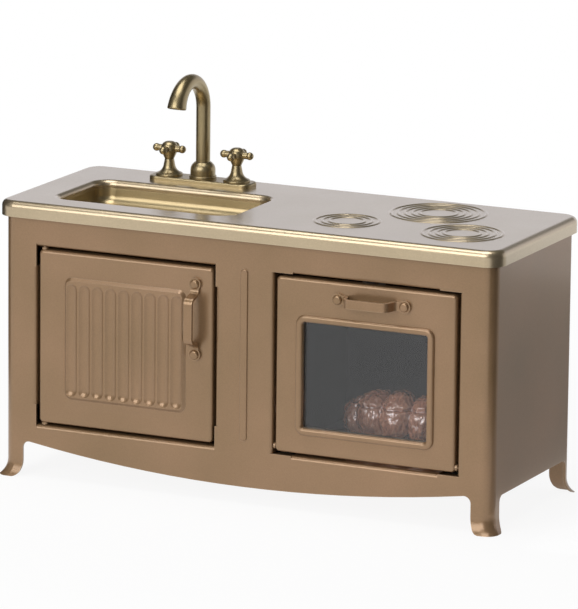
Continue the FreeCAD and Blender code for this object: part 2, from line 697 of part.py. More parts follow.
def cabinet_shell():
    """One bent sheet: front, sides, rear returns, legs, apron, door openings and centre rib."""
    body = new_body("cabinet_shell")
    plan = new_sketch(body, "shell_plan", "XY", out="foot_bend_height")
    rear_edge = size.half_width - size.rear_return
    wide, deep = size.half_width, size.half_depth
    points = [(-rear_edge, deep), (-wide, deep), (-wide, -deep), (wide, -deep), (wide, deep),
              (rear_edge, deep)]
    front, rear = size.front_bend_radius, size.rear_bend_radius
    radii = (0, rear, front, front, rear, 0)
    draw(plan, folded_strip(points, radii, size.sheet_thickness))
    feature(body, "Pad", "walls", plan, Length="worktop_height - lip_sheet - foot_bend_height")

    strip = new_sketch(body, "apron_strip", "XZ", out="half_depth")
    bind_rectangle(strip, "apron_strip_width", "apron_strip_height", y="apron_strip_middle")
    feature(body, "Pad", "apron", strip, Length="sheet_thickness", Reversed=True)
    arch = new_sketch(body, "apron_arch", "XZ", out="half_depth")
    draw(arch, apron_arch())
    feature(body, "Pocket", "apron_cut", arch, Length="front_bend_radius")

    sides = new_sketch(body, "side_cut_outline", "YZ")
    cut_front, cut_rear = size.leg_width - deep, deep - size.rear_leg_side_width
    corners = [(cut_front, 0, 0), (cut_rear, 0, 0),
               (cut_rear, size.side_edge_height, size.leg_fillet),
               (cut_front, size.side_edge_height, size.leg_fillet)]
    draw(sides, rounded_loop(corners))
    feature(body, "Pocket", "side_cuts", sides, Length="2 * cabinet_width", SideType="Symmetric")

    add_legs(body)
    round_toes(body)
    openings = new_sketch(body, "door_openings", "XZ", out="half_depth")
    for middle_x in ("-opening_middle_x", "opening_middle_x"):
        bind_rectangle(openings, "opening_width", "opening_height", middle_x, "opening_middle_z",
                       "opening_corner")
    feature(body, "Pocket", "door_holes", openings, Length="front_bend_radius")
    add_opening_flanges(body)
    round_folds(body)
    add_hinge_holes(body)

    rivet_holes = new_sketch(body, "rear_rivet_places", "XZ", out="-half_depth")
    for x, z in rear_rivet_places():
        bind_circle(rivet_holes, "rivet_radius", x, z)
    feature(body, "Pocket", "rear_rivet_holes", rivet_holes, Length="2 * sheet_thickness",
            Reversed=True)

    rib = new_sketch(body, "rib_outline", "XZ", out="half_depth")
    bind_rectangle(rib, "rib_width", "rib_height", y="rib_middle_z", corner="rib_end_round")
    rib_pad = feature(body, "Pad", "centre_rib", rib, Length="rib_rise")
    crown = edges_where(rib_pad, lambda edge: lies_at(edge, "Y", -size.half_depth - size.rib_rise))
    feature(body, "Fillet", "rib_rounding", Base=(rib_pad, crown), Radius="rib_edge_round")


def back_panel():
    body = new_body("back_panel")
    outline = new_sketch(body, "back_outline", "XZ", out="-half_depth + 2 * sheet_thickness")
    bind_rectangle(outline, "back_panel_width", "back_panel_height", y="back_panel_middle")
    feature(body, "Pad", "back_sheet", outline, Length="sheet_thickness", Reversed=True)
    holes = new_sketch(body, "back_rivet_places", "XZ", out="-half_depth")
    for x, z in rear_rivet_places():
        bind_circle(holes, "rivet_radius", x, z)
    feature(body, "Pocket", "back_rivet_holes", holes, Length="3 * sheet_thickness",
            Reversed=True)


def rivet(place, outward, grip):
    """A dome-headed rivet: head outside, shank through the grip, flat tail inside."""
    head, tail = size.rivet_head_radius, -grip - size.rivet_tail_height
    spread = size.rivet_radius * RIVET_TAIL_SHARE
    corners = [(0, tail, 0), (spread, tail, 0), (spread, -grip, 0),
               (size.rivet_radius, -grip, 0), (size.rivet_radius, 0, 0), (head, 0, 0),
               (head, size.rivet_head_height, size.rivet_head_height * RIVET_DOME_SHARE),
               (0, size.rivet_head_height, 0)]
    return turned_solid(corners, place, outward)


def back_rivets():
    low, high = size.side_edge_height, size.deck_underside
    solids = [rivet(Vector(side * size.rivet_column_x, size.half_depth, low + share * (high - low)),
                    Vector(0, 1, 0), 2 * size.sheet_thickness)
              for side in (-1, 1) for share in RIVET_HEIGHT_SHARES]
    plain_part("back_rivets", Part.makeCompound(solids))


def floor_panel():
    """A tray turned upside down: its edges fold down and are welded to the walls."""
    body = new_body("floor_panel")
    plan = new_sketch(body, "floor_outline", "XY", out="floor_top")
    bind_rectangle(plan, "floor_width", "floor_depth", y="floor_middle_y", corner="floor_corner")
    feature(body, "Pad", "floor_block", plan, Length="floor_fold", Reversed=True)
    hollow = new_sketch(body, "floor_hollow", "XY", out="floor_underside")
    bind_rectangle(hollow, "floor_inner_width", "floor_inner_depth", y="floor_middle_y",
                   corner="floor_inner_corner")
    feature(body, "Pocket", "floor_fold_inside", hollow, Length="floor_fold")
    tail_hole = new_sketch(body, "pin_tail_hole", "XY", out="floor_top")
    bind_circle(tail_hole, "pin_radius + pin_clearance", "cupboard_hinge_x", "hinge_y")
    feature(body, "Pocket", "pin_tail_bore", tail_hole, Length="2 * sheet_thickness")


def centre_partition():
    """A channel between cupboard and oven, folded to the floor and to the worktop."""
    body = new_body("centre_partition")
    profile = new_sketch(body, "partition_profile", "XZ", out="half_depth - sheet_thickness")
    fold, sheet_half = size.partition_fold, size.sheet_thickness / 2
    points = [(-sheet_half + fold, size.floor_top), (-sheet_half, size.floor_top),
              (-sheet_half, size.deck_underside), (-sheet_half + fold, size.deck_underside)]
    bend = size.fold_bend_radius
    draw(profile, folded_strip(points, (0, bend, bend, 0), -size.sheet_thickness))
    feature(body, "Pad", "partition_sheet", profile, Reversed=True,
            Length="cabinet_depth - 3 * sheet_thickness - seat_clearance")


def oven_liner():
    """The oven's box, open to the front, standing on the floor behind the opening's flanges."""
    body = new_body("oven_liner")
    outline = new_sketch(body, "liner_outline", "XZ", out="half_depth - flange_depth")
    bind_rectangle(outline, "liner_width", "liner_height", "opening_middle_x",
                   "opening_middle_z", "opening_corner")
    feature(body, "Pad", "liner_block", outline, Length="liner_depth", Reversed=True)
    inside = new_sketch(body, "liner_inside", "XZ", out="half_depth - flange_depth")
    bind_rectangle(inside, "liner_inner_width", "liner_inner_height", "opening_middle_x",
                   "opening_middle_z", "liner_inner_corner")
    feature(body, "Pocket", "liner_hollow", inside, Length="liner_depth - liner_sheet")


def add_hob_rings(body, name):
    """Concentric pressed ridges, each the cap of a circle in section, down to a plain core."""
    sketch = new_sketch(body, name + "_ridges", "XZ", across=f"{name}_x", up="worktop_height",
                        out=f"-{name}_y")
    half, rise = size.hob_ring_width / 2, size.hob_ring_rise
    root = -size.lip_sheet / 2
    outermost = number(name + "_radius") - half
    rings = int((outermost - size.hob_core_radius) / size.hob_ring_pitch) + 1
    for ring in range(rings):
        middle = outermost - ring * size.hob_ring_pitch
        left, right = Vector(middle - half, 0, 0), Vector(middle + half, 0, 0)
        left_root, right_root = Vector(middle - half, root, 0), Vector(middle + half, root, 0)
        draw(sketch, [Part.LineSegment(left_root, right_root),
                      Part.LineSegment(right_root, right),
                      Part.Arc(right, Vector(middle, rise, 0), left),
                      Part.LineSegment(left, left_root)])
    feature(body, "Revolution", name + "_rings", sketch, ReferenceAxis=(sketch, ["V_Axis"]))


def around_sink(edge):
    """Whether an edge belongs to the sink's outline in plan."""
    centre, margin = edge.BoundBox.Center, 2 * size.lip_sheet
    return (abs(centre.x - size.sink_x) < size.sink_length / 2 + margin
            and abs(centre.y - size.sink_y) < size.sink_width / 2 + margin)


def worktop():
    """A pressed lid with a turned-down lip, a rolled sink opening, hob rings and tap holes."""
    body = new_body("worktop")
    plan = new_sketch(body, "worktop_plan", "XY", out="worktop_height")
    bind_rectangle(plan, "worktop_width", "worktop_depth", corner="worktop_corner")
    block = feature(body, "Pad", "worktop_block", plan, Length="lip_height", Reversed=True)
    rim = edges_where(block, lambda edge: lies_at(edge, "Z", size.worktop_height))
    feature(body, "Fillet", "worktop_edge", Base=(block, rim), Radius="worktop_edge_round")
    inside = new_sketch(body, "worktop_inside", "XY", out="worktop_height - lip_height")
    bind_rectangle(inside, "worktop_inner_width", "worktop_inner_depth",
                   corner="worktop_inner_corner")
    hollow = feature(body, "Pocket", "worktop_hollow", inside, Reversed=True,
                     Length="lip_height - lip_sheet")
    edge = edges_where(hollow, lambda edge: lies_at(edge, "Z", size.deck_underside))
    feature(body, "Fillet", "worktop_inner_edge", Base=(hollow, edge),
            Radius=f"{INNER_EDGE_SHARE} * (worktop_overhang - lip_sheet)")

    collar = new_sketch(body, "sink_collar_outline", "XY", out="sink_mouth_z")
    bind_rectangle(collar, "sink_collar_length", "sink_collar_width", "sink_x", "sink_y",
                   "sink_collar_corner")
    raised = feature(body, "Pad", "sink_collar", collar, Length="sink_roll_depth - lip_sheet / 2")
    under = edges_where(raised, lambda edge: lies_at(edge, "Z", size.deck_underside)
                        and around_sink(edge))
    feature(body, "Fillet", "sink_roll_underside", Base=(raised, under),
            Radius="sink_roll - lip_sheet")
    hole = new_sketch(body, "sink_hole_outline", "XY", out="worktop_height")
    bind_rectangle(hole, "sink_length", "sink_width", "sink_x", "sink_y", "sink_corner")
    opened = feature(body, "Pocket", "sink_hole", hole, Length="lip_height")
    roll = edges_where(opened, lambda edge: lies_at(edge, "Z", size.worktop_height)
                       and around_sink(edge))
    feature(body, "Fillet", "sink_roll_edge", Base=(opened, roll), Radius="sink_roll")

    holes = new_sketch(body, "tap_holes", "XY", out="worktop_height")
    for side, radius in TAP_HOLES:
        bind_circle(holes, radius, f"sink_x + {side} * tap_spread", "tap_y")
    feature(body, "Pocket", "tap_bores", holes, Length="2 * lip_sheet")
    for name in HOB_PLACE_SHARES:
        add_hob_rings(body, name)


def sink_basin():
    """A deep pressing with drawn-in walls, butt-welded under the worktop's rolled edge."""
    body = new_body("sink_basin")
    outline = new_sketch(body, "basin_outline", "XY", out="sink_mouth_z")
    bind_rectangle(outline, "sink_collar_length", "sink_collar_width", "sink_x", "sink_y",
                   "sink_collar_corner")
    block = feature(body, "Pad", "basin_block", outline, Reversed=True, Length="basin_drop",
                    TaperAngle="-sink_taper")
    low = size.sink_mouth_z - size.basin_drop
    floor_edge = edges_where(block, lambda edge: lies_at(edge, "Z", low))
    rounded = feature(body, "Fillet", "basin_floor_edge", Base=(block, floor_edge),
                      Radius="sink_floor_round + lip_sheet")
    mouth = [f"Face{index}" for index, face in enumerate(rounded.Shape.Faces, start=1)
             if lies_at(face, "Z", size.sink_mouth_z)]
    feature(body, "Thickness", "basin_wall", Base=(rounded, mouth), Value="lip_sheet",
            Reversed=True, Join="Arc")


def tap_base_plate():
    body = new_body("tap_base_plate", "sink_x", "tap_y", "worktop_height")
    outline = new_sketch(body, "plate_outline", "XY")
    bind_rectangle(outline, "plate_length", "plate_width", corner="plate_corner")
    block = feature(body, "Pad", "plate_block", outline, Length="plate_thickness")
    rim = edges_where(block, lambda edge: lies_at(edge, "Z", size.plate_thickness))
    feature(body, "Fillet", "plate_edge", Base=(block, rim), Radius="plate_edge_round")
    holes = new_sketch(body, "plate_holes", "XY", out="plate_thickness")
    for side, radius in TAP_HOLES:
        bind_circle(holes, radius, f"{side} * tap_spread")
    feature(body, "Pocket", "plate_bores", holes, Length="2 * plate_thickness")


def tap_collar():
    """The bell under the spout: a base ring and a domed shoulder, bored for the stem."""
    bore = size.spout_stem_radius + size.shaft_clearance
    foot, ring_top = size.plate_thickness, size.plate_thickness + size.collar_ring_height
    top, step = foot + size.collar_height, size.collar_step_width
    bell = size.collar_radius - step
    corners = [(bore, foot, 0), (size.collar_radius, foot, 0),
               (size.collar_radius, ring_top, step * COLLAR_RING_ROUND_SHARE), (bell, ring_top, 0),
               (bell, foot + size.collar_shoulder, size.collar_dome),
               (size.spout_radius + step, top, 0), (bore, top, 0)]
    turned("tap_collar", corners, "sink_x", "tap_y", "worktop_height")


def tap_cone(name, side):
    """A trumpet cone on a hollow shank that reaches through the plate and the worktop."""
    foot = size.plate_thickness
    top = foot + size.cone_height
    bore = size.spindle_radius + size.shaft_clearance
    flare_low = foot + size.cone_foot_height
    corners = [(bore, foot - size.shank_length, 0), (size.shank_radius, foot - size.shank_length, 0),
               (size.shank_radius, foot, 0), (size.cone_radius, foot, 0),
               (size.cone_radius, flare_low, size.cone_foot_height / 2),
               (size.neck_radius * CONE_THROAT_SHARE, flare_low + size.cone_foot_height, size.cone_flare),
               (size.neck_radius, top, 0), (bore, top, 0)]
    turned(name + "_tap_cone", corners, f"sink_x + {side} * tap_spread", "tap_y",
           "worktop_height")


def tap_fixing_nuts():
    """Hexagon nuts that clamp both shanks up against the worktop's underside."""
    solids = []
    corner_radius = size.nut_flats / 2 / math.cos(math.pi / NUT_SIDES)
    for side in (-1, 1):
        centre = Vector(size.sink_x + side * size.tap_spread, size.tap_y,
                        size.deck_underside - size.nut_height)
        turns = [2 * math.pi * index / NUT_SIDES for index in range(NUT_SIDES)]
        corners = [centre + Vector(math.cos(turn), math.sin(turn), 0) * corner_radius
                   for turn in turns]
        prism = Part.Face(Part.makePolygon(corners + corners[:1])).extrude(
            Vector(0, 0, size.nut_height))
        bore = Part.makeCylinder(size.shank_radius, size.nut_height, centre)
        solids.append(prism.cut(bore))
    plain_part("tap_fixing_nuts", Part.makeCompound(solids))


def tap_handle(name, side):
    """A cross handle: a pear-shaped hub with four arms that end in balls."""
    body = new_body(name + "_tap_handle", f"sink_x + {side} * tap_spread", "tap_y",
                    "worktop_height + plate_thickness + cone_height + lift_clearance")
    hub = new_sketch(body, name + "_hub_profile", "XZ")
    socket, radius = size.spindle_radius, size.hub_radius
    corners = [(socket, 0, 0), (size.neck_radius, 0, 0),
               (radius, size.hub_shoulder, radius * HUB_WAIST_SHARE),
               (radius, size.hub_height, size.hub_dome), (0, size.hub_height, 0),
               (0, size.spindle_seat_depth, 0), (socket, size.spindle_seat_depth, 0)]
    draw(hub, rounded_loop(corners))
    feature(body, "Revolution", name + "_hub", hub, ReferenceAxis=(hub, ["V_Axis"]))
    arm = new_sketch(body, name + "_arm_profile", "XZ", up="hub_height - arm_drop")
    ball_centre = size.arm_reach - size.ball_radius
    join = ball_centre - math.sqrt(size.ball_radius ** 2 - size.arm_radius ** 2)
    root, start = Vector(size.spindle_radius, 0, 0), Vector(size.spindle_radius, size.arm_radius, 0)
    meet, tip = Vector(join, size.arm_radius, 0), Vector(size.arm_reach, 0, 0)
    crown = Vector(ball_centre, size.ball_radius, 0)
    draw(arm, [Part.LineSegment(root, start), Part.LineSegment(start, meet),
               Part.Arc(meet, crown, tip), Part.LineSegment(tip, root)])
    first = feature(body, "Revolution", name + "_arm", arm, ReferenceAxis=(arm, ["H_Axis"]))
    cross = body.newObject("PartDesign::PolarPattern", name + "_arms")
    cross.Originals = [first]
    cross.Axis = (hub, ["V_Axis"])
    cross.Angle = 360
    cross.Occurrences = 4
    body.Tip = cross
    document.recompute()


def tap_spindle(name, side):
    """The pin under a handle: it turns in the cone's bore and is headed over below."""
    shank_end = size.plate_thickness - size.shank_length
    head_top = shank_end - size.lift_clearance
    top = (size.plate_thickness + size.cone_height + size.lift_clearance
           + size.spindle_seat_depth)
    corners = [(0, head_top - size.spindle_head_height, 0),
               (size.spindle_head_radius, head_top - size.spindle_head_height, 0),
               (size.spindle_head_radius, head_top, 0), (size.spindle_radius, head_top, 0),
               (size.spindle_radius, top, 0), (0, top, 0)]
    turned(name + "_tap_spindle", corners, f"sink_x + {side} * tap_spread", "tap_y",
           "worktop_height")


def tap_spout():
    """A gooseneck: a stem in the collar, a straight column, and a bend that swells to the outlet."""
    collar_top = size.plate_thickness + size.collar_height
    column_low = collar_top + size.lift_clearance
    stem_low = -size.lip_sheet - size.lift_clearance - size.washer_thickness
    bend_z = size.spout_apex - size.apex_radius - size.gooseneck_radius
    corners = [(0, stem_low, 0), (size.spout_stem_radius, stem_low, 0),
               (size.spout_stem_radius, column_low, 0), (size.spout_radius, column_low, 0),
               (size.spout_radius, bend_z, 0), (0, bend_z, 0)]
    column = turned_solid(corners, Vector(0, 0, 0), Vector(0, 0, 1))
    sweep = math.radians(size.gooseneck_sweep)
    centre = Vector(0, -size.gooseneck_radius, bend_z)
    rings = []
    for station in range(NECK_STATIONS):
        angle = sweep * station / (NECK_STATIONS - 1)
        middle = centre + Vector(0, math.cos(angle), math.sin(angle)) * size.gooseneck_radius
        forward = Vector(0, -math.sin(angle), math.cos(angle))
        share = max(0, (angle - math.pi / 2) / (sweep - math.pi / 2))
        rise = min(1, angle / (math.pi / 2))
        radius = (size.spout_radius + rise * (size.apex_radius - size.spout_radius)
                  + share ** NECK_SWELL_POWER * (size.outlet_radius - size.apex_radius))
        rings.append(Part.Wire(Part.Circle(middle, forward, radius).toShape()))
    neck = Part.makeLoft(rings, True, False)
    end = centre + Vector(0, math.cos(sweep), math.sin(sweep)) * size.gooseneck_radius
    heading = Vector(0, -math.sin(sweep), math.cos(sweep))
    reach = size.outlet_radius + size.outlet_round
    rim = [edge for edge in neck.Edges
           if all(vertex.Point.distanceToPoint(end) < reach for vertex in edge.Vertexes)]
    neck = neck.makeFillet(size.outlet_round, rim)
    bore = Part.makeCylinder(size.outlet_bore, 2 * size.outlet_bore_depth,
                             end - heading * size.outlet_bore_depth, heading)
    shape = column.fuse(neck).cut(bore).removeSplitter()
    shape.translate(Vector(size.sink_x, size.tap_y, size.worktop_height))
    plain_part("tap_spout", shape)


def spout_washer():
    """A flat ring pressed on the end of the stem, so that the spout can't be pulled out."""
    top = -size.lip_sheet - size.lift_clearance
    low = top - size.washer_thickness
    corners = [(size.spout_stem_radius, low, 0), (size.washer_radius, low, 0),
               (size.washer_radius, top, 0), (size.spout_stem_radius, top, 0)]
    turned("spout_washer", corners, "sink_x", "tap_y", "worktop_height")


def door_tray(body, prefix, middle_x):
    """A door sheet with its edges folded back all round and its front edges rounded."""
    outline = new_sketch(body, prefix + "_outline", "XZ", out="half_depth")
    bind_rectangle(outline, "door_width", "door_height", middle_x, "opening_middle_z",
                   "door_corner")
    block = feature(body, "Pad", prefix + "_block", outline, Length="door_depth", Reversed=True)
    front = edges_where(block, lambda edge: lies_at(edge, "Y", -size.half_depth))
    feature(body, "Fillet", prefix + "_edge", Base=(block, front), Radius="door_edge_round")
    inside = new_sketch(body, prefix + "_inside", "XZ", out="half_depth - door_depth")
    bind_rectangle(inside, "door_inner_width", "door_inner_height", middle_x,
                   "opening_middle_z", "door_inner_corner")
    feature(body, "Pocket", prefix + "_hollow", inside, Reversed=True,
            Length="door_depth - sheet_thickness")


def add_grip_holes(body, prefix, feet):
    sketch = new_sketch(body, prefix + "_grip_holes", "XZ", out="half_depth")
    for x, z in feet:
        bind_circle(sketch, "rivet_radius", x, z)
    feature(body, "Pocket", prefix + "_grip_bores", sketch, Length="2 * sheet_thickness")


def flute_count():
    """How many flutes fit side by side on the raised panel."""
    room = size.panel_width - 2 * size.flute_side_margin + size.flute_ridge
    return int(room / size.flute_pitch)


def add_flutes(body):
    """Round-ended flutes side by side: a turned cutter repeated across the raised panel."""
    half_chord, depth = size.flute_width / 2, size.flute_depth
    flute_radius = (half_chord ** 2 + depth ** 2) / (2 * depth)
    axis_y = depth - size.half_depth - size.panel_rise - flute_radius
    spaces = flute_count() - 1
    first_x = -size.opening_middle_x - size.flute_pitch * spaces / 2
    middle_z, half_height = size.panel_middle_z, size.panel_height / 2
    low = middle_z - half_height + size.flute_foot_margin + half_chord
    high = middle_z + half_height - size.flute_top_margin - half_chord
    cutter = new_sketch(body, "flute_profile", "YZ")
    cutter.setExpression("AttachmentOffset.Base.x", None)
    cutter.setExpression("AttachmentOffset.Base.z", None)
    cutter.AttachmentOffset = Placement(Vector(axis_y, 0, first_x), Rotation())
    slant = flute_radius / math.sqrt(2)
    bottom, top = Vector(0, low - flute_radius, 0), Vector(0, high + flute_radius, 0)
    low_end, high_end = Vector(flute_radius, low, 0), Vector(flute_radius, high, 0)
    draw(cutter, [Part.LineSegment(top, bottom),
                  Part.Arc(bottom, Vector(slant, low - slant, 0), low_end),
                  Part.LineSegment(low_end, high_end),
                  Part.Arc(high_end, Vector(slant, high + slant, 0), top)])
    flute = feature(body, "Groove", "flute", cutter, ReferenceAxis=(cutter, ["V_Axis"]))
    flutes = body.newObject("PartDesign::LinearPattern", "flutes")
    flutes.Originals = [flute]
    flutes.Direction = (cutter, ["N_Axis"])
    flutes.setExpression("Length", bound(f"flute_pitch * {spaces}"))
    flutes.Occurrences = spaces + 1
    body.Tip = flutes
    document.recompute()


def cupboard_door_panel():
    """The cupboard door: a raised bevelled panel with round-ended flutes."""
    body = new_body("cupboard_door_panel")
    door_tray(body, "cupboard_door", "-opening_middle_x")
    panel = new_sketch(body, "raised_panel_outline", "XZ", out="half_depth")
    bind_rectangle(panel, "panel_width", "panel_height", "-opening_middle_x",
                   "panel_middle_z", "panel_corner")
    raised = feature(body, "Pad", "raised_panel", panel, Length="panel_rise")
    face = edges_where(raised, lambda edge: lies_at(edge, "Y", -size.half_depth - size.panel_rise))
    feature(body, "Chamfer", "panel_bevel_edge", Base=(raised, face), Size="panel_bevel")
    add_flutes(body)
    pin_holes = new_sketch(body, "cupboard_pin_holes", "XY", out="worktop_height")
    bind_circle(pin_holes, "pin_radius", "cupboard_hinge_x", "hinge_y")
    feature(body, "Pocket", "cupboard_pin_bores", pin_holes, Length="worktop_height")
    add_grip_holes(body, "cupboard", CUPBOARD_GRIP_FEET)


def oven_door_panel():
    """The oven door: a window with a raised round bead, and pin holes in its side folds."""
    body = new_body("oven_door_panel")
    door_tray(body, "oven_door", "opening_middle_x")
    bead = new_sketch(body, "window_bead_outline", "XZ", out="half_depth")
    bind_rectangle(bead, "bead_width", "bead_height", "opening_middle_x", "window_middle_z",
                   "bead_corner")
    feature(body, "Pad", "window_bead", bead, Length="rim_rise")
    window = new_sketch(body, "window_outline", "XZ", out="half_depth + rim_rise")
    bind_rectangle(window, "window_width", "window_height", "opening_middle_x",
                   "window_middle_z", "window_corner")
    opened = feature(body, "Pocket", "window", window, Length="rim_rise + 2 * sheet_thickness")
    crest = edges_where(opened, lambda edge: lies_at(edge, "Y", -size.half_depth - size.rim_rise))
    feature(body, "Fillet", "bead_rounding", Base=(opened, crest), Radius="rim_round")
    pin_holes = new_sketch(body, "oven_pin_holes", "YZ", out="opening_middle_x")
    bind_circle(pin_holes, "pin_radius", "hinge_y", "oven_hinge_z")
    feature(body, "Pocket", "oven_pin_bores", pin_holes, SideType="Symmetric",
            Length="opening_width")
    add_grip_holes(body, "oven", OVEN_GRIP_FEET)


def window_pane():
    body = new_body("window_pane")
    outline = new_sketch(body, "pane_outline", "XZ", out="half_depth - sheet_thickness")
    bind_rectangle(outline, "pane_width", "pane_height", "opening_middle_x", "window_middle_z",
                   "window_corner")
    feature(body, "Pad", "pane_sheet", outline, Length="pane_thickness", Reversed=True)


def window_retainer():
    """A frame behind the pane, rebated round it and welded to the back of the door."""
    body = new_body("window_retainer")
    outline = new_sketch(body, "retainer_outline", "XZ", out="half_depth - sheet_thickness")
    bind_rectangle(outline, "retainer_frame_width", "retainer_frame_height",
                   "opening_middle_x", "window_middle_z", "retainer_frame_corner")
    feature(body, "Pad", "retainer_block", outline, Reversed=True,
            Length="pane_thickness + retainer_thickness")
    rebate = new_sketch(body, "retainer_rebate", "XZ", out="half_depth - sheet_thickness")
    bind_rectangle(rebate, "rebate_width", "rebate_height", "opening_middle_x",
                   "window_middle_z", "window_corner")
    feature(body, "Pocket", "pane_rebate", rebate, Length="pane_thickness")
    view = new_sketch(body, "retainer_view", "XZ", out="half_depth - sheet_thickness")
    bind_rectangle(view, "window_width", "window_height", "opening_middle_x",
                   "window_middle_z", "window_corner")
    feature(body, "Pocket", "retainer_opening", view,
            Length="pane_thickness + 2 * retainer_thickness")


def grip(name, feet, plane):
    """A pull handle bent from strip, with a round foot at each end."""
    body = new_body(name + "_grip")
    middle_x = sum(number(x) for x, _ in feet) / len(feet)
    middle_z = sum(number(z) for _, z in feet) / len(feet)
    foot_end = size.grip_spacing / 2
    foot_start = foot_end - size.grip_foot_length
    bar_end = size.grip_bar_length / 2
    strap, far = size.strap_thickness, size.grip_standoff
    path = [(-foot_end, strap), (-foot_start, strap), (-bar_end, far), (bar_end, far),
            (foot_start, strap), (foot_end, strap)]
    bend = size.strap_bend_radius
    radii = (0, bend, bend + strap, bend + strap, bend, 0)
    if plane == "YZ":
        points = [(-size.half_depth - out, middle_z + along) for along, out in path]
        thickness, across = strap, middle_x
    else:
        points = [(middle_x + along, -size.half_depth - out) for along, out in path]
        thickness, across = -strap, middle_z
    profile = new_sketch(body, name + "_grip_profile", plane)
    profile.setExpression("AttachmentOffset.Base.z", None)
    profile.AttachmentOffset = Placement(Vector(0, 0, across), Rotation())
    draw(profile, folded_strip(points, radii, -thickness))
    feature(body, "Pad", name + "_grip_strap", profile, Length="strap_width", SideType="Symmetric")
    discs = new_sketch(body, name + "_grip_feet_outline", "XZ", out="half_depth")
    for x, z in feet:
        bind_circle(discs, "grip_disc_radius", x, z)
    feature(body, "Pad", name + "_grip_feet", discs, Length="strap_thickness")
    bores = new_sketch(body, name + "_grip_bores_outline", "XZ", out="half_depth")
    for x, z in feet:
        bind_circle(bores, "rivet_radius", x, z)
    feature(body, "Pocket", name + "_grip_bores", bores, Length="2 * strap_thickness",
            Reversed=True)


def grip_rivets(name, feet):
    front = -size.half_depth - size.strap_thickness
    solids = [rivet(Vector(number(x), front, number(z)), Vector(0, -1, 0),
                    size.strap_thickness + size.sheet_thickness) for x, z in feet]
    plain_part(name + "_grip_rivets", Part.makeCompound(solids))


def hinge_pin(door_edge, outward):
    """A pin rooted in the door's folded edge, with a collar that keeps the door's gap."""
    reach = size.door_gap + size.sheet_thickness + size.pin_tail
    corners = [(0, -size.pin_root, 0), (size.pin_radius, -size.pin_root, 0),
               (size.pin_radius, 0, 0), (size.pin_collar_radius, 0, 0),
               (size.pin_collar_radius, size.pin_collar_height, 0),
               (size.pin_radius, size.pin_collar_height, 0), (size.pin_radius, reach, 0),
               (0, reach, 0)]
    return turned_solid(corners, door_edge, outward)


def hinge_pins():
    pins = [hinge_pin(Vector(size.cupboard_hinge_x, size.hinge_y, edge_z), Vector(0, 0, side))
            for edge_z, side in ((size.door_top, 1), (size.door_bottom, -1))]
    plain_part("cupboard_hinge_pins", Part.makeCompound(pins))
    pins = [hinge_pin(Vector(size.opening_middle_x + side * size.door_width / 2, size.hinge_y,
                             size.oven_hinge_z), Vector(side, 0, 0)) for side in (-1, 1)]
    plain_part("oven_hinge_pins", Part.makeCompound(pins))


def catch_places():
    """Plate face, and the two magnet centres, level with the doors' folded free edges."""
    cupboard = Vector(-size.opening_inner - size.magnet_edge_gap, size.flange_end_y,
                      size.door_top - size.cupboard_catch_drop)
    oven = Vector(size.opening_middle_x, size.flange_end_y, size.opening_top - size.magnet_edge_gap)
    return cupboard, oven


def door_catches():
    """Folded brackets behind the free edges of the doors, each with a round magnet."""
    thick, width = size.sheet_thickness, size.catch_width
    cupboard, oven = catch_places()
    jamb_x = -size.opening_inner
    leg_x = jamb_x + thick
    points = [(jamb_x - size.catch_drop, size.flange_end_y), (leg_x, size.flange_end_y),
              (leg_x, size.flange_end_y - size.flange_depth / 2)]
    wire = Part.Wire([edge.toShape() for edge in folded_strip(points, (0, 0, 0), thick)])
    bracket = Part.Face(wire).extrude(Vector(0, 0, width))
    bracket.translate(Vector(0, 0, cupboard.z - width / 2))
    plain_part("cupboard_catch_bracket", bracket)
    ceiling = size.opening_top + thick - size.liner_sheet
    points = [(size.flange_end_y, size.opening_top - size.catch_drop), (size.flange_end_y, ceiling),
              (size.flange_end_y + size.catch_leg, ceiling)]
    wire = Part.Wire([edge.toShape() for edge in folded_strip(points, (0, 0, 0), -thick)])
    wire.rotate(Vector(0, 0, 0), Vector(1, 1, 1), 120)
    bracket = Part.Face(wire).extrude(Vector(width, 0, 0))
    bracket.translate(Vector(oven.x - width / 2, 0, 0))
    plain_part("oven_catch_bracket", bracket)
    for name, place in (("cupboard", cupboard), ("oven", oven)):
        magnet = Part.makeCylinder(size.magnet_radius, size.magnet_thickness, place,
                                   Vector(0, -1, 0))
        plain_part(name + "_catch_magnet", magnet)


def toy_bread():
    """A small crescent loaf of overlapping rolls, resting on the oven's floor."""
    floor_z = size.floor_top + size.liner_sheet
    pitch = size.bread_length / BREAD_ROLLS
    loaf = None
    for index in range(BREAD_ROLLS):
        along = (index - (BREAD_ROLLS - 1) / 2) * pitch
        angle = along / size.bread_curve
        thinning = (1 - BREAD_END_SHARE) * (2 * along / size.bread_length) ** 2
        radius = size.bread_height / 2 * (1 - thinning)
        roll = Part.makeSphere(radius)
        stretch = FreeCAD.Matrix()
        stretch.scale(pitch * BREAD_OVERLAP_SHARE / radius, BREAD_WIDTH_SHARE, 1)
        roll = roll.transformGeometry(stretch)
        place = Vector(size.bread_x + size.bread_curve * math.sin(angle),
                       size.bread_y + size.bread_curve * (1 - math.cos(angle)), floor_z + radius)
        roll.Placement = Placement(place, Rotation(Vector(0, 0, 1), math.degrees(angle)))
        loaf = loaf.fuse(roll) if loaf else roll
    cut_z = floor_z + size.seat_clearance
    above = Part.makeBox(size.cabinet_width, size.cabinet_depth, size.opening_height,
                         Vector(-size.half_width, -size.half_depth, cut_z))
    loaf = loaf.common(above)
    loaf.translate(Vector(0, 0, -size.seat_clearance))
    plain_part("toy_bread", loaf)


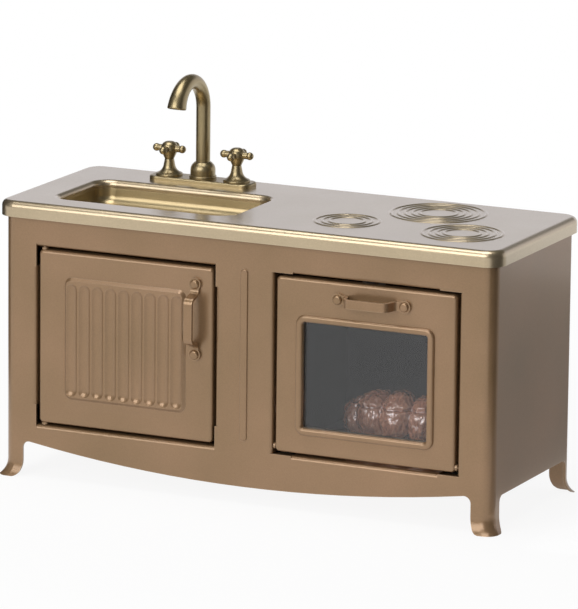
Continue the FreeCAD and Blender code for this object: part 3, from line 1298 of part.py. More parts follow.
def build():
    cabinet_shell()
    back_panel()
    back_rivets()
    floor_panel()
    centre_partition()
    oven_liner()
    worktop()
    sink_basin()
    tap_base_plate()
    tap_collar()
    tap_fixing_nuts()
    for name, side in (("left", -1), ("right", 1)):
        tap_cone(name, side)
        tap_handle(name, side)
        tap_spindle(name, side)
    tap_spout()
    spout_washer()
    cupboard_door_panel()
    oven_door_panel()
    window_pane()
    window_retainer()
    grip("cupboard", CUPBOARD_GRIP_FEET, "YZ")
    grip("oven", OVEN_GRIP_FEET, "XY")
    grip_rivets("cupboard", CUPBOARD_GRIP_FEET)
    grip_rivets("oven", OVEN_GRIP_FEET)
    hinge_pins()
    door_catches()
    toy_bread()


def sub_parts():
    return [item for item in document.Objects
            if item.TypeId in ("PartDesign::Body", "Part::Feature")]


def check():
    """Stop if any feature failed or any sub-part has no sound solid."""
    for item in document.Objects:
        if "Invalid" in item.State or "Error" in item.State:
            raise RuntimeError(f"{item.Label} failed: {item.State}")
    for item in sub_parts():
        if item.Shape.isNull() or not item.Shape.isValid() or not item.Shape.Solids:
            raise RuntimeError(f"{item.Label} has no valid solid")


build()
document.recompute()
check()
os.makedirs("parts", exist_ok=True)
for item in sub_parts():
    item.Shape.exportStep(f"parts/{item.Label}.step")
    print(item.Label, len(item.Shape.Solids), round(item.Shape.Volume, 1))
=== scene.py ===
import bpy
import bmesh
import json
import math
from mathutils import Matrix, Vector


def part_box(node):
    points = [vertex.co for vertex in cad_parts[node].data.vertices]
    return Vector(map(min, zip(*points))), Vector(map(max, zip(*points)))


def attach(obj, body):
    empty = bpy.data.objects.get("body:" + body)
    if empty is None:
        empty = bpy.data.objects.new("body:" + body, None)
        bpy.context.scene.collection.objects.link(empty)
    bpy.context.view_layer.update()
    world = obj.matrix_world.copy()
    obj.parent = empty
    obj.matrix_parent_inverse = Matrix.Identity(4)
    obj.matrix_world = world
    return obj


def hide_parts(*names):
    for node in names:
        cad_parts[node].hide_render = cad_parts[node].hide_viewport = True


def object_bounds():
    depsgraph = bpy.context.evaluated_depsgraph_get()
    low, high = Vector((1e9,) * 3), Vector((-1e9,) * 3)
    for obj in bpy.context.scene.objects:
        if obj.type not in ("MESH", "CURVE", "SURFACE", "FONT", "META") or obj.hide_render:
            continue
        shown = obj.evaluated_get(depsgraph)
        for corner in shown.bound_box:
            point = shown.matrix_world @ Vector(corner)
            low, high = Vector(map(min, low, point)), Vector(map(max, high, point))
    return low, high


# Doll's tin kitchen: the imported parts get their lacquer, brass and glass, the bread is baked here,
# and the whole stands on a pale table in soft studio light. Everything is in metres, front to -Y.

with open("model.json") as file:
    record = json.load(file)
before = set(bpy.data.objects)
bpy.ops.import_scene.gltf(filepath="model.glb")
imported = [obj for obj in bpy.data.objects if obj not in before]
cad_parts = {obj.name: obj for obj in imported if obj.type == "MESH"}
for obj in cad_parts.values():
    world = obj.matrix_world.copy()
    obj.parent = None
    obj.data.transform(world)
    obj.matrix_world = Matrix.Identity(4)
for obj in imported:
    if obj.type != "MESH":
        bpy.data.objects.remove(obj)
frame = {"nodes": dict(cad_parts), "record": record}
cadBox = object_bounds()
print("frame loaded:", len(frame["nodes"]), "nodes")


def addNode(tree, kind, values=None, **settings):
    node = tree.nodes.new(kind)
    for name, value in settings.items():
        setattr(node, name, value)
    for socket, value in (values or {}).items():
        node.inputs[socket].default_value = value
    return node


def feed(tree, socket, value):
    if isinstance(value, bpy.types.NodeSocket):
        tree.links.new(value, socket)
    else:
        socket.default_value = value


def mathNode(tree, operation, *values, clamp=False):
    node = addNode(tree, "ShaderNodeMath", operation=operation, use_clamp=clamp)
    for socket, value in zip(node.inputs, values):
        feed(tree, socket, value)
    return node.outputs[0]


def vectorNode(tree, operation, *values):
    node = addNode(tree, "ShaderNodeVectorMath", operation=operation)
    for socket, value in zip(node.inputs, values):
        feed(tree, socket, value)
    return node.outputs


def rangeNode(tree, value, fromLow, fromHigh, toLow=0.0, toHigh=1.0, smooth=False):
    node = addNode(tree, "ShaderNodeMapRange",
                   interpolation_type="SMOOTHSTEP" if smooth else "LINEAR")
    for label, part in (("Value", value), ("From Min", fromLow), ("From Max", fromHigh),
                        ("To Min", toLow), ("To Max", toHigh)):
        feed(tree, node.inputs[label], part)
    return node.outputs[0]


def mixColour(tree, factor, first, second, blend="MIX"):
    node = addNode(tree, "ShaderNodeMix", data_type="RGBA", blend_type=blend)
    for index, value in ((0, factor), (6, first), (7, second)):  # the colour mix's own sockets
        feed(tree, node.inputs[index], (*value, 1.0) if isinstance(value, tuple) else value)
    return node.outputs[2]


def newGroup(name, inputs, outputs):
    group = bpy.data.node_groups.new(name, "ShaderNodeTree")
    for label, kind, value in inputs:
        socket = group.interface.new_socket(label, in_out="INPUT", socket_type=kind)
        socket.default_value = value
    for label, kind in outputs:
        group.interface.new_socket(label, in_out="OUTPUT", socket_type=kind)
    return group, group.nodes.new("NodeGroupInput"), group.nodes.new("NodeGroupOutput")


def placeGroup(tree, group, **values):
    node = addNode(tree, "ShaderNodeGroup", node_tree=group)
    for label, value in values.items():
        node.inputs[label].default_value = value
    return node


def shadeFrom(group, pattern, depth):
    spread = mathNode(group, "SUBTRACT", pattern, 0.5)
    return mathNode(group, "ADD", mathNode(group, "MULTIPLY", spread, depth), 1.0)


# fine metal grain under the lacquer, one tone to a cell
def makeLacquerFlake():
    group, given, result = newGroup("lacquerFlake", [
        ("Scale", "NodeSocketFloat", 2600.0), ("Depth", "NodeSocketFloat", 0.1)],
        [("Shade", "NodeSocketFloat"), ("Height", "NodeSocketFloat")])
    place = addNode(group, "ShaderNodeTexCoord")
    flakes = addNode(group, "ShaderNodeTexVoronoi", feature="F1")
    group.links.new(place.outputs["Object"], flakes.inputs["Vector"])
    group.links.new(given.outputs["Scale"], flakes.inputs["Scale"])
    tone = addNode(group, "ShaderNodeSeparateColor")
    group.links.new(flakes.outputs["Color"], tone.inputs["Color"])
    group.links.new(shadeFrom(group, tone.outputs[0], given.outputs["Depth"]),
                    result.inputs["Shade"])
    group.links.new(tone.outputs[1], result.inputs["Height"])
    return group


cloudinessValues = {"lowNoise": 0.15, "highNoise": 0.85}  # the noise seldom leaves these


# slow drift between two values, as sprayed coats and handled metal have
def makeCloudiness(values):
    group, given, result = newGroup("cloudiness", [
        ("Scale", "NodeSocketFloat", 30.0), ("Detail", "NodeSocketFloat", 3.0),
        ("Low", "NodeSocketFloat", 0.0), ("High", "NodeSocketFloat", 1.0)],
        [("Value", "NodeSocketFloat")])
    place = addNode(group, "ShaderNodeTexCoord")
    cloud = addNode(group, "ShaderNodeTexNoise")
    group.links.new(place.outputs["Object"], cloud.inputs["Vector"])
    group.links.new(given.outputs["Scale"], cloud.inputs["Scale"])
    group.links.new(given.outputs["Detail"], cloud.inputs["Detail"])
    value = rangeNode(group, cloud.outputs["Fac"], values["lowNoise"], values["highNoise"],
                      given.outputs["Low"], given.outputs["High"])
    group.links.new(value, result.inputs["Value"])
    return group


# flat counts as rubbed and highlit from the first facing on, and fully at the second
rubbedAndHighlitEdgeValues = {"firstFacing": 0.995, "fullFacing": 0.86, "samples": 4,
                    "patchScale": 260.0, "patchDetail": 4.0}


# a broken mask along sharp edges, where hands rub the finish and where the lighter edge colour is
# also a painted highlight
def makeRubbedAndHighlitEdge(values):
    group, given, result = newGroup("rubbedAndHighlitEdge", [
        ("Radius", "NodeSocketFloat", 0.0006), ("Breakup", "NodeSocketFloat", 0.5)],
        [("Mask", "NodeSocketFloat")])
    rounded = addNode(group, "ShaderNodeBevel", samples=values["samples"])
    group.links.new(given.outputs["Radius"], rounded.inputs["Radius"])
    surface = addNode(group, "ShaderNodeNewGeometry")
    facing = vectorNode(group, "DOT_PRODUCT", rounded.outputs["Normal"], surface.outputs["Normal"])
    edge = rangeNode(group, facing["Value"], values["firstFacing"], values["fullFacing"])
    place = addNode(group, "ShaderNodeTexCoord")
    patches = addNode(group, "ShaderNodeTexNoise",
                      {"Scale": values["patchScale"], "Detail": values["patchDetail"]})
    group.links.new(place.outputs["Object"], patches.inputs["Vector"])
    loss = mathNode(group, "MULTIPLY", patches.outputs["Fac"], given.outputs["Breakup"])
    mask = mathNode(group, "SUBTRACT", edge, loss, clamp=True)
    group.links.new(mask, result.inputs["Mask"])
    return group


# long faint polishing lines
def makeBrushing():
    group, given, result = newGroup("brushing", [
        ("Along", "NodeSocketVector", (60.0, 900.0, 900.0)), ("Depth", "NodeSocketFloat", 0.1)],
        [("Shade", "NodeSocketFloat"), ("Height", "NodeSocketFloat")])
    place = addNode(group, "ShaderNodeTexCoord")
    drawn = vectorNode(group, "MULTIPLY", place.outputs["Object"], given.outputs["Along"])
    lines = addNode(group, "ShaderNodeTexNoise", {"Scale": 1.0, "Detail": 2.0})
    group.links.new(drawn[0], lines.inputs["Vector"])
    group.links.new(shadeFrom(group, lines.outputs["Fac"], given.outputs["Depth"]),
                    result.inputs["Shade"])
    group.links.new(lines.outputs["Fac"], result.inputs["Height"])
    return group


lacquerFlake = makeLacquerFlake()
cloudiness = makeCloudiness(cloudinessValues)
rubbedAndHighlitEdge = makeRubbedAndHighlitEdge(rubbedAndHighlitEdgeValues)
brushing = makeBrushing()
print("shared effects made")


def newMaterial(name, **shaderValues):
    material = bpy.data.materials.new(name)
    material.use_nodes = True
    tree = material.node_tree
    shader = tree.nodes["Principled BSDF"]
    for label, value in shaderValues.items():
        shader.inputs[label.replace("_", " ")].default_value = value
    return material, tree, shader


def bumpInto(tree, shader, height, values):
    bump = addNode(tree, "ShaderNodeBump",
                   {"Strength": values["bump"], "Distance": values["bumpDepth"]})
    tree.links.new(height, bump.inputs["Height"])
    tree.links.new(bump.outputs["Normal"], shader.inputs["Normal"])


def cloudedTone(tree, values):
    cloud = placeGroup(tree, cloudiness, Scale=values["cloudScale"])
    return mixColour(tree, cloud.outputs["Value"], values["dark"], values["light"])


# the gloss drifts in patches half as large as the tone's
def cloudedRoughness(tree, shader, values):
    rough = placeGroup(tree, cloudiness, Scale=values["cloudScale"] * 2.0,
                       Low=values["roughness"] - values["roughnessSpread"],
                       High=values["roughness"] + values["roughnessSpread"])
    tree.links.new(rough.outputs["Value"], shader.inputs["Roughness"])


# lightens sharp edges toward the edge colour: partly rubbed wear, partly a painted highlight along
# the edges
def rubbedAndHighlitTone(tree, tone, values):
    edge = placeGroup(tree, rubbedAndHighlitEdge, Radius=values["edgeRadius"], Breakup=values["edgeBreakup"])
    wornAndHighlit = mathNode(tree, "MULTIPLY", edge.outputs["Mask"], values["wearAndHighlightShare"])
    return mixColour(tree, wornAndHighlit, tone, values["edge"])


# the lighter edge colour and its share are partly edge wear, partly a painted highlight on the edges
cabinetPaintValues = {
    "dark": (0.232, 0.145, 0.068), "light": (0.338, 0.203, 0.112), "edge": (0.56, 0.42, 0.28),
    "wearAndHighlightShare": 0.45, "edgeRadius": 0.0005, "edgeBreakup": 0.7, "metallic": 0.5,
    "roughness": 0.33, "roughnessSpread": 0.055, "coat": 0.4, "coatRoughness": 0.13,
    "flakeScale": 3400.0, "flakeDepth": 0.09, "cloudScale": 26.0, "bump": 0.03,
    "bumpDepth": 0.0002,
}
gripPaintValues = dict(cabinetPaintValues, metallic=0.65, cloudScale=90.0)


def lacquerMaterial(name, values):
    material, tree, shader = newMaterial(name, Metallic=values["metallic"],
                                         Coat_Weight=values["coat"],
                                         Coat_Roughness=values["coatRoughness"])
    flake = placeGroup(tree, lacquerFlake, Scale=values["flakeScale"], Depth=values["flakeDepth"])
    grained = mixColour(tree, 1.0, cloudedTone(tree, values), flake.outputs["Shade"], "MULTIPLY")
    tree.links.new(rubbedAndHighlitTone(tree, grained, values), shader.inputs["Base Color"])
    cloudedRoughness(tree, shader, values)
    bumpInto(tree, shader, flake.outputs["Height"], values)
    return material


# the pale edge colour here is partly rubbed wear, partly a painted highlight on the edges
worktopBrassValues = {
    "dark": (0.445, 0.350, 0.220), "light": (0.550, 0.440, 0.285), "edge": (0.78, 0.68, 0.48),
    "wearAndHighlightShare": 0.25, "edgeRadius": 0.0006, "edgeBreakup": 0.6, "metallic": 0.95,
    "roughness": 0.325, "roughnessSpread": 0.045, "coat": 1.0, "coatRoughness": 0.20,
    "brushAlong": (90.0, 1400.0, 1400.0), "brushDepth": 0.04, "grainScale": 2600.0,
    "grainDepth": 0.07, "cloudScale": 30.0, "bump": 0.02, "bumpDepth": 0.0002,
}
# the basin's brass is darker and more saturated than the worktop's, as painted shade inside the
# recess
shadedBasinBrassValues = dict(worktopBrassValues, dark=(0.37, 0.285, 0.15), light=(0.48, 0.38, 0.21),
                        coat=0.3)
tapBrassValues = dict(worktopBrassValues, dark=(0.30, 0.235, 0.125), light=(0.40, 0.32, 0.18),
                      edgeRadius=0.0004, coat=0.15, brushAlong=(700.0, 700.0, 60.0),
                      brushDepth=0.03, grainDepth=0.02, cloudScale=120.0, bump=0.004)


def brassMaterial(name, values):
    material, tree, shader = newMaterial(name, Metallic=values["metallic"],
                                         Coat_Weight=values["coat"],
                                         Coat_Roughness=values["coatRoughness"])
    lines = placeGroup(tree, brushing, Along=values["brushAlong"], Depth=values["brushDepth"])
    brushed = mixColour(tree, 1.0, cloudedTone(tree, values), lines.outputs["Shade"], "MULTIPLY")
    grain = placeGroup(tree, lacquerFlake, Scale=values["grainScale"], Depth=values["grainDepth"])
    grained = mixColour(tree, 1.0, brushed, grain.outputs["Shade"], "MULTIPLY")
    tree.links.new(rubbedAndHighlitTone(tree, grained, values), shader.inputs["Base Color"])
    cloudedRoughness(tree, shader, values)
    bumpInto(tree, shader, lines.outputs["Height"], values)
    return material


enamelValues = {"dark": (0.010, 0.010, 0.011), "light": (0.017, 0.017, 0.018), "metallic": 0.0,
                "specular": 0.1, "roughness": 0.75, "roughnessSpread": 0.05, "cloudScale": 60.0}
zincValues = {"dark": (0.14, 0.14, 0.135), "light": (0.21, 0.21, 0.20), "metallic": 0.8,
              "specular": 0.5, "roughness": 0.38, "roughnessSpread": 0.05, "cloudScale": 220.0}
ferriteValues = {"dark": (0.028, 0.028, 0.030), "light": (0.045, 0.045, 0.048), "metallic": 0.2,
                 "specular": 0.5, "roughness": 0.62, "roughnessSpread": 0.05,
                 "cloudScale": 500.0}


def plainMetalMaterial(name, values):
    material, tree, shader = newMaterial(name, Metallic=values["metallic"],
                                         Specular_IOR_Level=values["specular"])
    tree.links.new(cloudedTone(tree, values), shader.inputs["Base Color"])
    cloudedRoughness(tree, shader, values)
    return material


windowValues = {"dark": (0.90, 0.90, 0.91), "light": (0.95, 0.95, 0.96), "ior": 1.49,
                "cloudScale": 24.0, "shadowTone": (0.93, 0.93, 0.93)}


# lamps reach the bread through the pane, because shadow rays pass it
def windowMaterial(name, values):
    material, tree, shader = newMaterial(name, Metallic=0.0, Transmission_Weight=1.0,
                                         IOR=values["ior"], Roughness=0.0)
    tree.links.new(cloudedTone(tree, values), shader.inputs["Base Color"])
    through = addNode(tree, "ShaderNodeBsdfTransparent", {"Color": (*values["shadowTone"], 1.0)})
    rays = addNode(tree, "ShaderNodeLightPath")
    blend = addNode(tree, "ShaderNodeMixShader")
    tree.links.new(rays.outputs["Is Shadow Ray"], blend.inputs[0])
    tree.links.new(shader.outputs[0], blend.inputs[1])
    tree.links.new(through.outputs[0], blend.inputs[2])
    tree.links.new(blend.outputs[0], tree.nodes["Material Output"].inputs["Surface"])
    return material


finishes = {
    "cabinet_paint": lacquerMaterial("cabinetLacquer", cabinetPaintValues),
    "handle_paint": lacquerMaterial("gripLacquer", gripPaintValues),
    "rivet_steel": lacquerMaterial("rivetLacquer", gripPaintValues),
    "oven_enamel": plainMetalMaterial("ovenGrey", enamelValues),
    "worktop_brass": brassMaterial("worktopBrass", worktopBrassValues),
    "tap_brass": brassMaterial("tapBrass", tapBrassValues),
    "catch_steel": plainMetalMaterial("zincPlate", zincValues),
    "magnet": plainMetalMaterial("darkFerrite", ferriteValues),
    "window": windowMaterial("smokedPane", windowValues),
}
for part in frame["record"]["subparts"]:
    finish = finishes.get(part["material_slot"])  # the bread has none, because a loaf replaces it
    if finish:
        mesh = frame["nodes"][part["node"]].data
        mesh.materials.clear()
        mesh.materials.append(finish)
# the basin gets the darker brass, whose tone is painted shade of the recess
basin = frame["nodes"]["sink_basin"].data
basin.materials[0] = brassMaterial("shadedBasinBrass", shadedBasinBrassValues)
print("finishes placed on", len(frame["nodes"]), "nodes")

# the loaf curves round a point behind it, with its horns to the back of the oven;
# every value here is an input of its tree
breadValues = {
    "arcRadius": 0.030, "arcAngle": 1.34, "belly": 0.0094, "taperPower": 2.3, "tipWidth": 1.0004,
    "grooves": 5.6, "grooveShift": 0.45, "grooveDepth": 0.30, "grooveWidth": 0.65,
    "seamDepth": 0.0009, "seamHeight": 1.62, "seamWidth": 0.10, "seamWave": 0.35,
    "crumple": 0.0018, "crumpleScale": 260.0, "wrinkle": 0.0014,
    "wrinkleScale": (820.0, 820.0, 260.0), "flatFoot": 0.10, "seed": 4.0,
    "along": 260, "around": 120,
}
bakeValues = {"frontReach": 0.96, "weldDistance": 0.00001}
# the crust's hollow colours are painted shade in its creases, and its ridge colours a painted
# highlight on its crests
crustValues = {
    "shadedHollowDark": (0.12, 0.030, 0.013), "shadedHollowLight": (0.34, 0.125, 0.060),
    "highlitRidgeDark": (0.38, 0.150, 0.080), "highlitRidgeLight": (0.60, 0.33, 0.21),
    "shadedHollowPoint": 0.46, "highlitRidgePoint": 0.56, "cloudScale": 230.0, "roughness": 0.22,
    "roughnessSpread": 0.09, "coat": 1.0, "coatRoughness": 0.06, "glaze": 1.9,
    "crumbScale": 480.0, "crumbDetail": 2.5, "bump": 1.0, "bumpDepth": 0.0006,
}


def crustMaterial(name, values):
    material, tree, shader = newMaterial(name, Coat_Weight=values["coat"],
                                         Coat_Roughness=values["coatRoughness"],
                                         Coat_IOR=values["glaze"], IOR=values["glaze"])
    surface = addNode(tree, "ShaderNodeNewGeometry")
    # pointiness paints the hollows darker as painted shade and the ridges lighter as painted
    # highlight
    highlitRidges = rangeNode(tree, surface.outputs["Pointiness"],
                       values["shadedHollowPoint"], values["highlitRidgePoint"])
    cloud = placeGroup(tree, cloudiness, Scale=values["cloudScale"]).outputs["Value"]
    shadedHollow = mixColour(tree, cloud, values["shadedHollowDark"], values["shadedHollowLight"])
    highlitRidge = mixColour(tree, cloud, values["highlitRidgeDark"], values["highlitRidgeLight"])
    tree.links.new(mixColour(tree, highlitRidges, shadedHollow, highlitRidge), shader.inputs["Base Color"])
    cloudedRoughness(tree, shader, values)
    crumbs = placeGroup(tree, cloudiness, Scale=values["crumbScale"], Detail=values["crumbDetail"])
    bumpInto(tree, shader, crumbs.outputs["Value"], values)
    return material


# arcRadius becomes the input "Arc Radius"
def inputLabel(name):
    return "".join(" " + letter if letter.isupper() else letter for letter in name).title()


def makeLoafTree(values):
    tree = bpy.data.node_groups.new("crescentLoaf", "GeometryNodeTree")
    kinds = {float: "NodeSocketFloat", int: "NodeSocketInt", tuple: "NodeSocketVector"}
    for name, value in values.items():
        socket = tree.interface.new_socket(inputLabel(name), in_out="INPUT",
                                           socket_type=kinds[type(value)])
        socket.default_value = value
    tree.interface.new_socket("Crust", in_out="INPUT", socket_type="NodeSocketMaterial")
    tree.interface.new_socket("Loaf", in_out="OUTPUT", socket_type="NodeSocketGeometry")
    given = tree.nodes.new("NodeGroupInput").outputs
    result = tree.nodes.new("NodeGroupOutput").inputs[0]

    def calc(operation, *parts):
        return mathNode(tree, operation, *parts)

    # the line that the loaf follows, lifted so that its belly rests on the floor
    arc = addNode(tree, "GeometryNodeCurveArc")
    start = calc("SUBTRACT", -math.pi / 2, calc("MULTIPLY", given["Arc Angle"], 0.5))
    for label, value in (("Resolution", given["Along"]), ("Radius", given["Arc Radius"]),
                         ("Start Angle", start), ("Sweep Angle", given["Arc Angle"])):
        feed(tree, arc.inputs[label], value)
    along = addNode(tree, "GeometryNodeSplineParameter").outputs["Factor"]
    across = calc("ABSOLUTE", calc("MULTIPLY_ADD", along, 2.0, -1.0))
    thinning = calc("POWER", across, given["Taper Power"])
    taper = calc("POWER", calc("SUBTRACT", given["Tip Width"], thinning), 0.5)
    thickness = calc("MULTIPLY", given["Belly"], taper)
    rise = addNode(tree, "ShaderNodeCombineXYZ")
    feed(tree, rise.inputs["Z"], thickness)
    lifted = addNode(tree, "GeometryNodeSetPosition")
    tree.links.new(arc.outputs["Curve"], lifted.inputs["Geometry"])
    tree.links.new(rise.outputs[0], lifted.inputs["Offset"])

    # a ring swept along it, drawn in at each groove
    turns = calc("SUBTRACT", calc("MULTIPLY", along, given["Grooves"]), given["Groove Shift"])
    wave = calc("ABSOLUTE", calc("SINE", calc("MULTIPLY", turns, math.pi)))
    drawnIn = calc("SUBTRACT", 1.0, calc("POWER", wave, given["Groove Width"]))
    notch = calc("SUBTRACT", 1.0, calc("MULTIPLY", given["Groove Depth"], drawnIn))
    ring = addNode(tree, "GeometryNodeCurvePrimitiveCircle")
    feed(tree, ring.inputs["Resolution"], given["Around"])
    feed(tree, ring.inputs["Radius"], 1.0)
    body = addNode(tree, "GeometryNodeCurveToMesh", {"Fill Caps": True})
    tree.links.new(lifted.outputs[0], body.inputs["Curve"])
    tree.links.new(calc("MULTIPLY", thickness, notch), body.inputs["Scale"])
    tree.links.new(ring.outputs[0], body.inputs["Profile Curve"])

    # crumples, fine upright wrinkles and a split along the front, all along the normal
    place = addNode(tree, "GeometryNodeInputPosition").outputs[0]
    seeded = vectorNode(tree, "ADD", place, given["Seed"])[0]
    coarse = addNode(tree, "ShaderNodeTexNoise", {"Detail": 3.0})
    tree.links.new(seeded, coarse.inputs["Vector"])
    tree.links.new(given["Crumple Scale"], coarse.inputs["Scale"])
    fine = addNode(tree, "ShaderNodeTexNoise", {"Scale": 1.0, "Detail": 4.0, "Roughness": 0.6})
    drawn = vectorNode(tree, "MULTIPLY", seeded, given["Wrinkle Scale"])[0]
    tree.links.new(drawn, fine.inputs["Vector"])
    height = addNode(tree, "ShaderNodeSeparateXYZ")
    tree.links.new(place, height.inputs[0])
    waved = calc("ADD", calc("DIVIDE", height.outputs["Z"], given["Belly"]),
                 calc("MULTIPLY", coarse.outputs["Fac"], given["Seam Wave"]))
    offSeam = calc("ABSOLUTE", calc("SUBTRACT", waved, given["Seam Height"]))
    split = rangeNode(tree, offSeam, 0.0, given["Seam Width"], -1.0, 0.0, smooth=True)
    crumples = calc("MULTIPLY", calc("SUBTRACT", coarse.outputs["Fac"], 0.5), given["Crumple"])
    wrinkles = calc("MULTIPLY", calc("SUBTRACT", fine.outputs["Fac"], 0.5), given["Wrinkle"])
    push = calc("ADD", calc("ADD", crumples, wrinkles),
                calc("MULTIPLY", split, given["Seam Depth"]))
    outward = addNode(tree, "ShaderNodeVectorMath", operation="SCALE")
    tree.links.new(addNode(tree, "GeometryNodeInputNormal").outputs[0], outward.inputs[0])
    tree.links.new(push, outward.inputs["Scale"])
    crumpled = addNode(tree, "GeometryNodeSetPosition")
    tree.links.new(body.outputs[0], crumpled.inputs["Geometry"])
    tree.links.new(outward.outputs[0], crumpled.inputs["Offset"])

    # the underside is pressed flat, so nothing hangs below the oven's floor
    now = addNode(tree, "ShaderNodeSeparateXYZ")
    tree.links.new(addNode(tree, "GeometryNodeInputPosition").outputs[0], now.inputs[0])
    flat = addNode(tree, "ShaderNodeCombineXYZ")
    tree.links.new(now.outputs["X"], flat.inputs["X"])
    tree.links.new(now.outputs["Y"], flat.inputs["Y"])
    foot = calc("MULTIPLY", given["Belly"], given["Flat Foot"])
    tree.links.new(calc("MAXIMUM", now.outputs["Z"], foot), flat.inputs["Z"])
    settled = addNode(tree, "GeometryNodeSetPosition")
    tree.links.new(crumpled.outputs[0], settled.inputs["Geometry"])
    tree.links.new(flat.outputs[0], settled.inputs["Position"])
    real = addNode(tree, "GeometryNodeRealizeInstances")
    tree.links.new(settled.outputs[0], real.inputs[0])
    crust = addNode(tree, "GeometryNodeSetMaterial")
    tree.links.new(real.outputs[0], crust.inputs["Geometry"])
    tree.links.new(given["Crust"], crust.inputs["Material"])
    tree.links.new(crust.outputs[0], result)
    return tree


def bakeLoaf(values, bake, crust):
    tree = makeLoafTree(values)
    blank = bpy.data.objects.new("loafBlank", bpy.data.meshes.new("loafBlank"))
    bpy.context.collection.objects.link(blank)
    modifier = blank.modifiers.new("loaf", "NODES")
    modifier.node_group = tree
    for socket in tree.interface.items_tree:
        if socket.in_out == "INPUT" and socket.name == "Crust":
            modifier[socket.identifier] = crust
    ready = blank.evaluated_get(bpy.context.evaluated_depsgraph_get())
    mesh = bpy.data.meshes.new_from_object(ready)
    bpy.data.objects.remove(blank)
    low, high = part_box("toy_bread")
    front = values["belly"] * bake["frontReach"] + values["arcRadius"]
    mesh.transform(Matrix.Translation(Vector((
        (low.x + high.x) / 2, low.y + front, low.z - values["belly"] * values["flatFoot"]))))
    shape = bmesh.new()
    shape.from_mesh(mesh)
    bmesh.ops.remove_doubles(shape, verts=shape.verts, dist=bake["weldDistance"])
    bmesh.ops.recalc_face_normals(shape, faces=shape.faces)
    shape.to_mesh(mesh)
    shape.free()
    for face in mesh.polygons:
        face.use_smooth = True
    loaf = bpy.data.objects.new("bakedLoaf", mesh)
    bpy.context.collection.objects.link(loaf)
    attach(loaf, "cabinet")
    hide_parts("toy_bread")
    return loaf


loaf = bakeLoaf(breadValues, bakeValues, crustMaterial("bakedCrust", crustValues))
print("loaf baked:", len(loaf.data.polygons), "faces")

# close to the object the table keeps its shadow, and further off it turns plain white
tableValues = {"radius": 6.0, "segments": 96, "colour": (0.86, 0.86, 0.86), "roughness": 0.7,
               "nearEdge": 0.14, "farEdge": 0.42, "nearWhite": 0.9, "farWhite": 1.0}


def makeTable(values):
    mesh = bpy.data.meshes.new("table")
    shape = bmesh.new()
    bmesh.ops.create_circle(shape, cap_ends=True, segments=values["segments"],
                            radius=values["radius"])
    shape.to_mesh(mesh)
    shape.free()
    table = bpy.data.objects.new("table", mesh)
    bpy.context.collection.objects.link(table)
    material, tree, shader = newMaterial("tablePaper", Roughness=values["roughness"],
                                         Base_Color=(*values["colour"], 1.0))
    glow = addNode(tree, "ShaderNodeEmission", {"Color": (1.0, 1.0, 1.0, 1.0), "Strength": 1.0})
    rays = addNode(tree, "ShaderNodeLightPath")
    seen = mathNode(tree, "MAXIMUM", rays.outputs["Is Camera Ray"], rays.outputs["Is Glossy Ray"])
    seen = mathNode(tree, "MAXIMUM", seen, rays.outputs["Is Transmission Ray"])
    place = addNode(tree, "ShaderNodeTexCoord")
    distance = vectorNode(tree, "LENGTH", place.outputs["Object"])["Value"]
    white = rangeNode(tree, distance, values["nearEdge"], values["farEdge"],
                      values["nearWhite"], values["farWhite"])
    blend = addNode(tree, "ShaderNodeMixShader")
    tree.links.new(mathNode(tree, "MULTIPLY", seen, white), blend.inputs[0])
    tree.links.new(shader.outputs[0], blend.inputs[1])
    tree.links.new(glow.outputs[0], blend.inputs[2])
    tree.links.new(blend.outputs[0], tree.nodes["Material Output"].inputs["Surface"])
    mesh.materials.append(material)


makeTable(tableValues)

# studio cards round the object, out of the camera's sight, give the metal its darker sides;
# two stand, and the third lies on the table
cardValues = [
    {"name": "rightCard", "low": (0.215, -0.20, 0.002), "high": (0.215, 0.05, 0.45),
     "tone": (0.10, 0.10, 0.10)},
    {"name": "leftCard", "low": (-0.215, -0.06, 0.002), "high": (-0.215, 0.13, 0.45),
     "tone": (0.05, 0.05, 0.05)},
    {"name": "tableCard", "low": (0.105, -0.04, 0.002), "high": (0.42, 0.34, 0.002),
     "tone": (0.50, 0.50, 0.50)},
]


def makeCard(values):
    (nearX, front, foot), (farX, rear, top) = values["low"], values["high"]
    mesh = bpy.data.meshes.new(values["name"])
    mesh.from_pydata([(nearX, front, foot), (farX, front, top), (farX, rear, top),
                      (nearX, rear, foot)], [], [(0, 1, 2, 3)])
    mesh.materials.append(newMaterial(values["name"], Roughness=1.0,
                                      Base_Color=(*values["tone"], 1.0))[0])
    card = bpy.data.objects.new(values["name"], mesh)
    bpy.context.collection.objects.link(card)
    card.visible_camera = False
    card.visible_shadow = False


for values in cardValues:
    makeCard(values)

lampValues = [
    {"name": "frontLamp", "place": (-0.30, -1.60, 0.85), "size": (1.5, 1.1), "power": 18.5},
    {"name": "overheadLamp", "place": (-0.20, -0.18, 1.60), "size": (1.3, 1.1), "power": 16.0},
]


def makeLamp(values):
    data = bpy.data.lights.new(values["name"], "AREA")
    data.shape, data.size, data.size_y = "RECTANGLE", *values["size"]
    data.energy = values["power"]
    lamp = bpy.data.objects.new(values["name"], data)
    bpy.context.collection.objects.link(lamp)
    lamp.location = values["place"]
    middle = Vector(cadBox[0]).lerp(Vector(cadBox[1]), 0.5)
    lamp.rotation_euler = (middle - lamp.location).to_track_quat("-Z", "Y").to_euler()
    lamp.visible_camera = False


for values in lampValues:
    makeLamp(values)

# the camera sees white, and everything else a grey room with a white backdrop low behind the table
worldValues = {"room": (0.20, 0.20, 0.20), "rear": (0.09, 0.09, 0.08),
               "backdrop": (0.86, 0.85, 0.90), "backdropTop": (0.27, 0.48),
               "backdropSide": (-0.15, 0.35)}


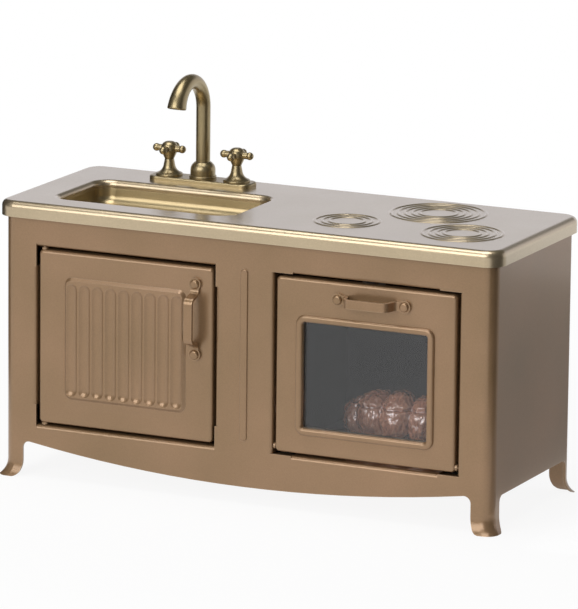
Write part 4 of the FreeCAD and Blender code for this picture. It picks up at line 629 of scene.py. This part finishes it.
def makeWorld(values):
    world = bpy.data.worlds.new("studio")
    bpy.context.scene.world = world
    world.use_nodes = True
    tree = world.node_tree
    direction = addNode(tree, "ShaderNodeTexCoord")
    split = addNode(tree, "ShaderNodeSeparateXYZ")
    tree.links.new(direction.outputs["Generated"], split.inputs[0])
    topLow, topHigh = values["backdropTop"]
    low = rangeNode(tree, split.outputs["Z"], topHigh, topLow, smooth=True)
    behind = rangeNode(tree, split.outputs["Y"], *values["backdropSide"], smooth=True)
    above = mixColour(tree, behind, values["room"], values["rear"])
    room = mixColour(tree, mathNode(tree, "MULTIPLY", low, behind), above, values["backdrop"])
    rays = addNode(tree, "ShaderNodeLightPath")
    seen = mixColour(tree, rays.outputs["Is Camera Ray"], room, (1.0, 1.0, 1.0))
    tree.links.new(seen, tree.nodes["Background"].inputs["Color"])


makeWorld(worldValues)

# fitted to the photograph's corners, whose picture is higher than wide
cameraValues = {"azimuth": 25.2, "elevation": 12.45, "roll": 0.62, "distance": 2.010,
                "target": (0.0006, 0.002025, 0.0617), "focalPixels": 5980.0,
                "imageHeight": 609, "sensorWidth": 36.0, "clipEnd": 50.0}


def placeCamera(values):
    azimuth, elevation = math.radians(values["azimuth"]), math.radians(values["elevation"])
    back = Vector((math.sin(azimuth) * math.cos(elevation),
                   -math.cos(azimuth) * math.cos(elevation), math.sin(elevation)))
    right = (-back).cross(Vector((0, 0, 1))).normalized()
    up = right.cross(-back).normalized()
    roll = math.radians(values["roll"])
    across = right * math.cos(roll) + up * math.sin(roll)
    upward = up * math.cos(roll) - right * math.sin(roll)
    data = bpy.data.cameras.new("camera")
    data.sensor_width = values["sensorWidth"]
    data.lens = values["focalPixels"] * values["sensorWidth"] / values["imageHeight"]
    data.clip_end = values["clipEnd"]
    camera = bpy.data.objects.new("camera", data)
    bpy.context.collection.objects.link(camera)
    turn = Matrix((across, upward, back)).transposed().to_4x4()
    place = Vector(values["target"]) + back * values["distance"]
    camera.matrix_world = Matrix.Translation(place) @ turn
    bpy.context.scene.camera = camera


placeCamera(cameraValues)
bpy.context.scene.view_settings.view_transform = "Standard"
print("table, lamps and camera placed")
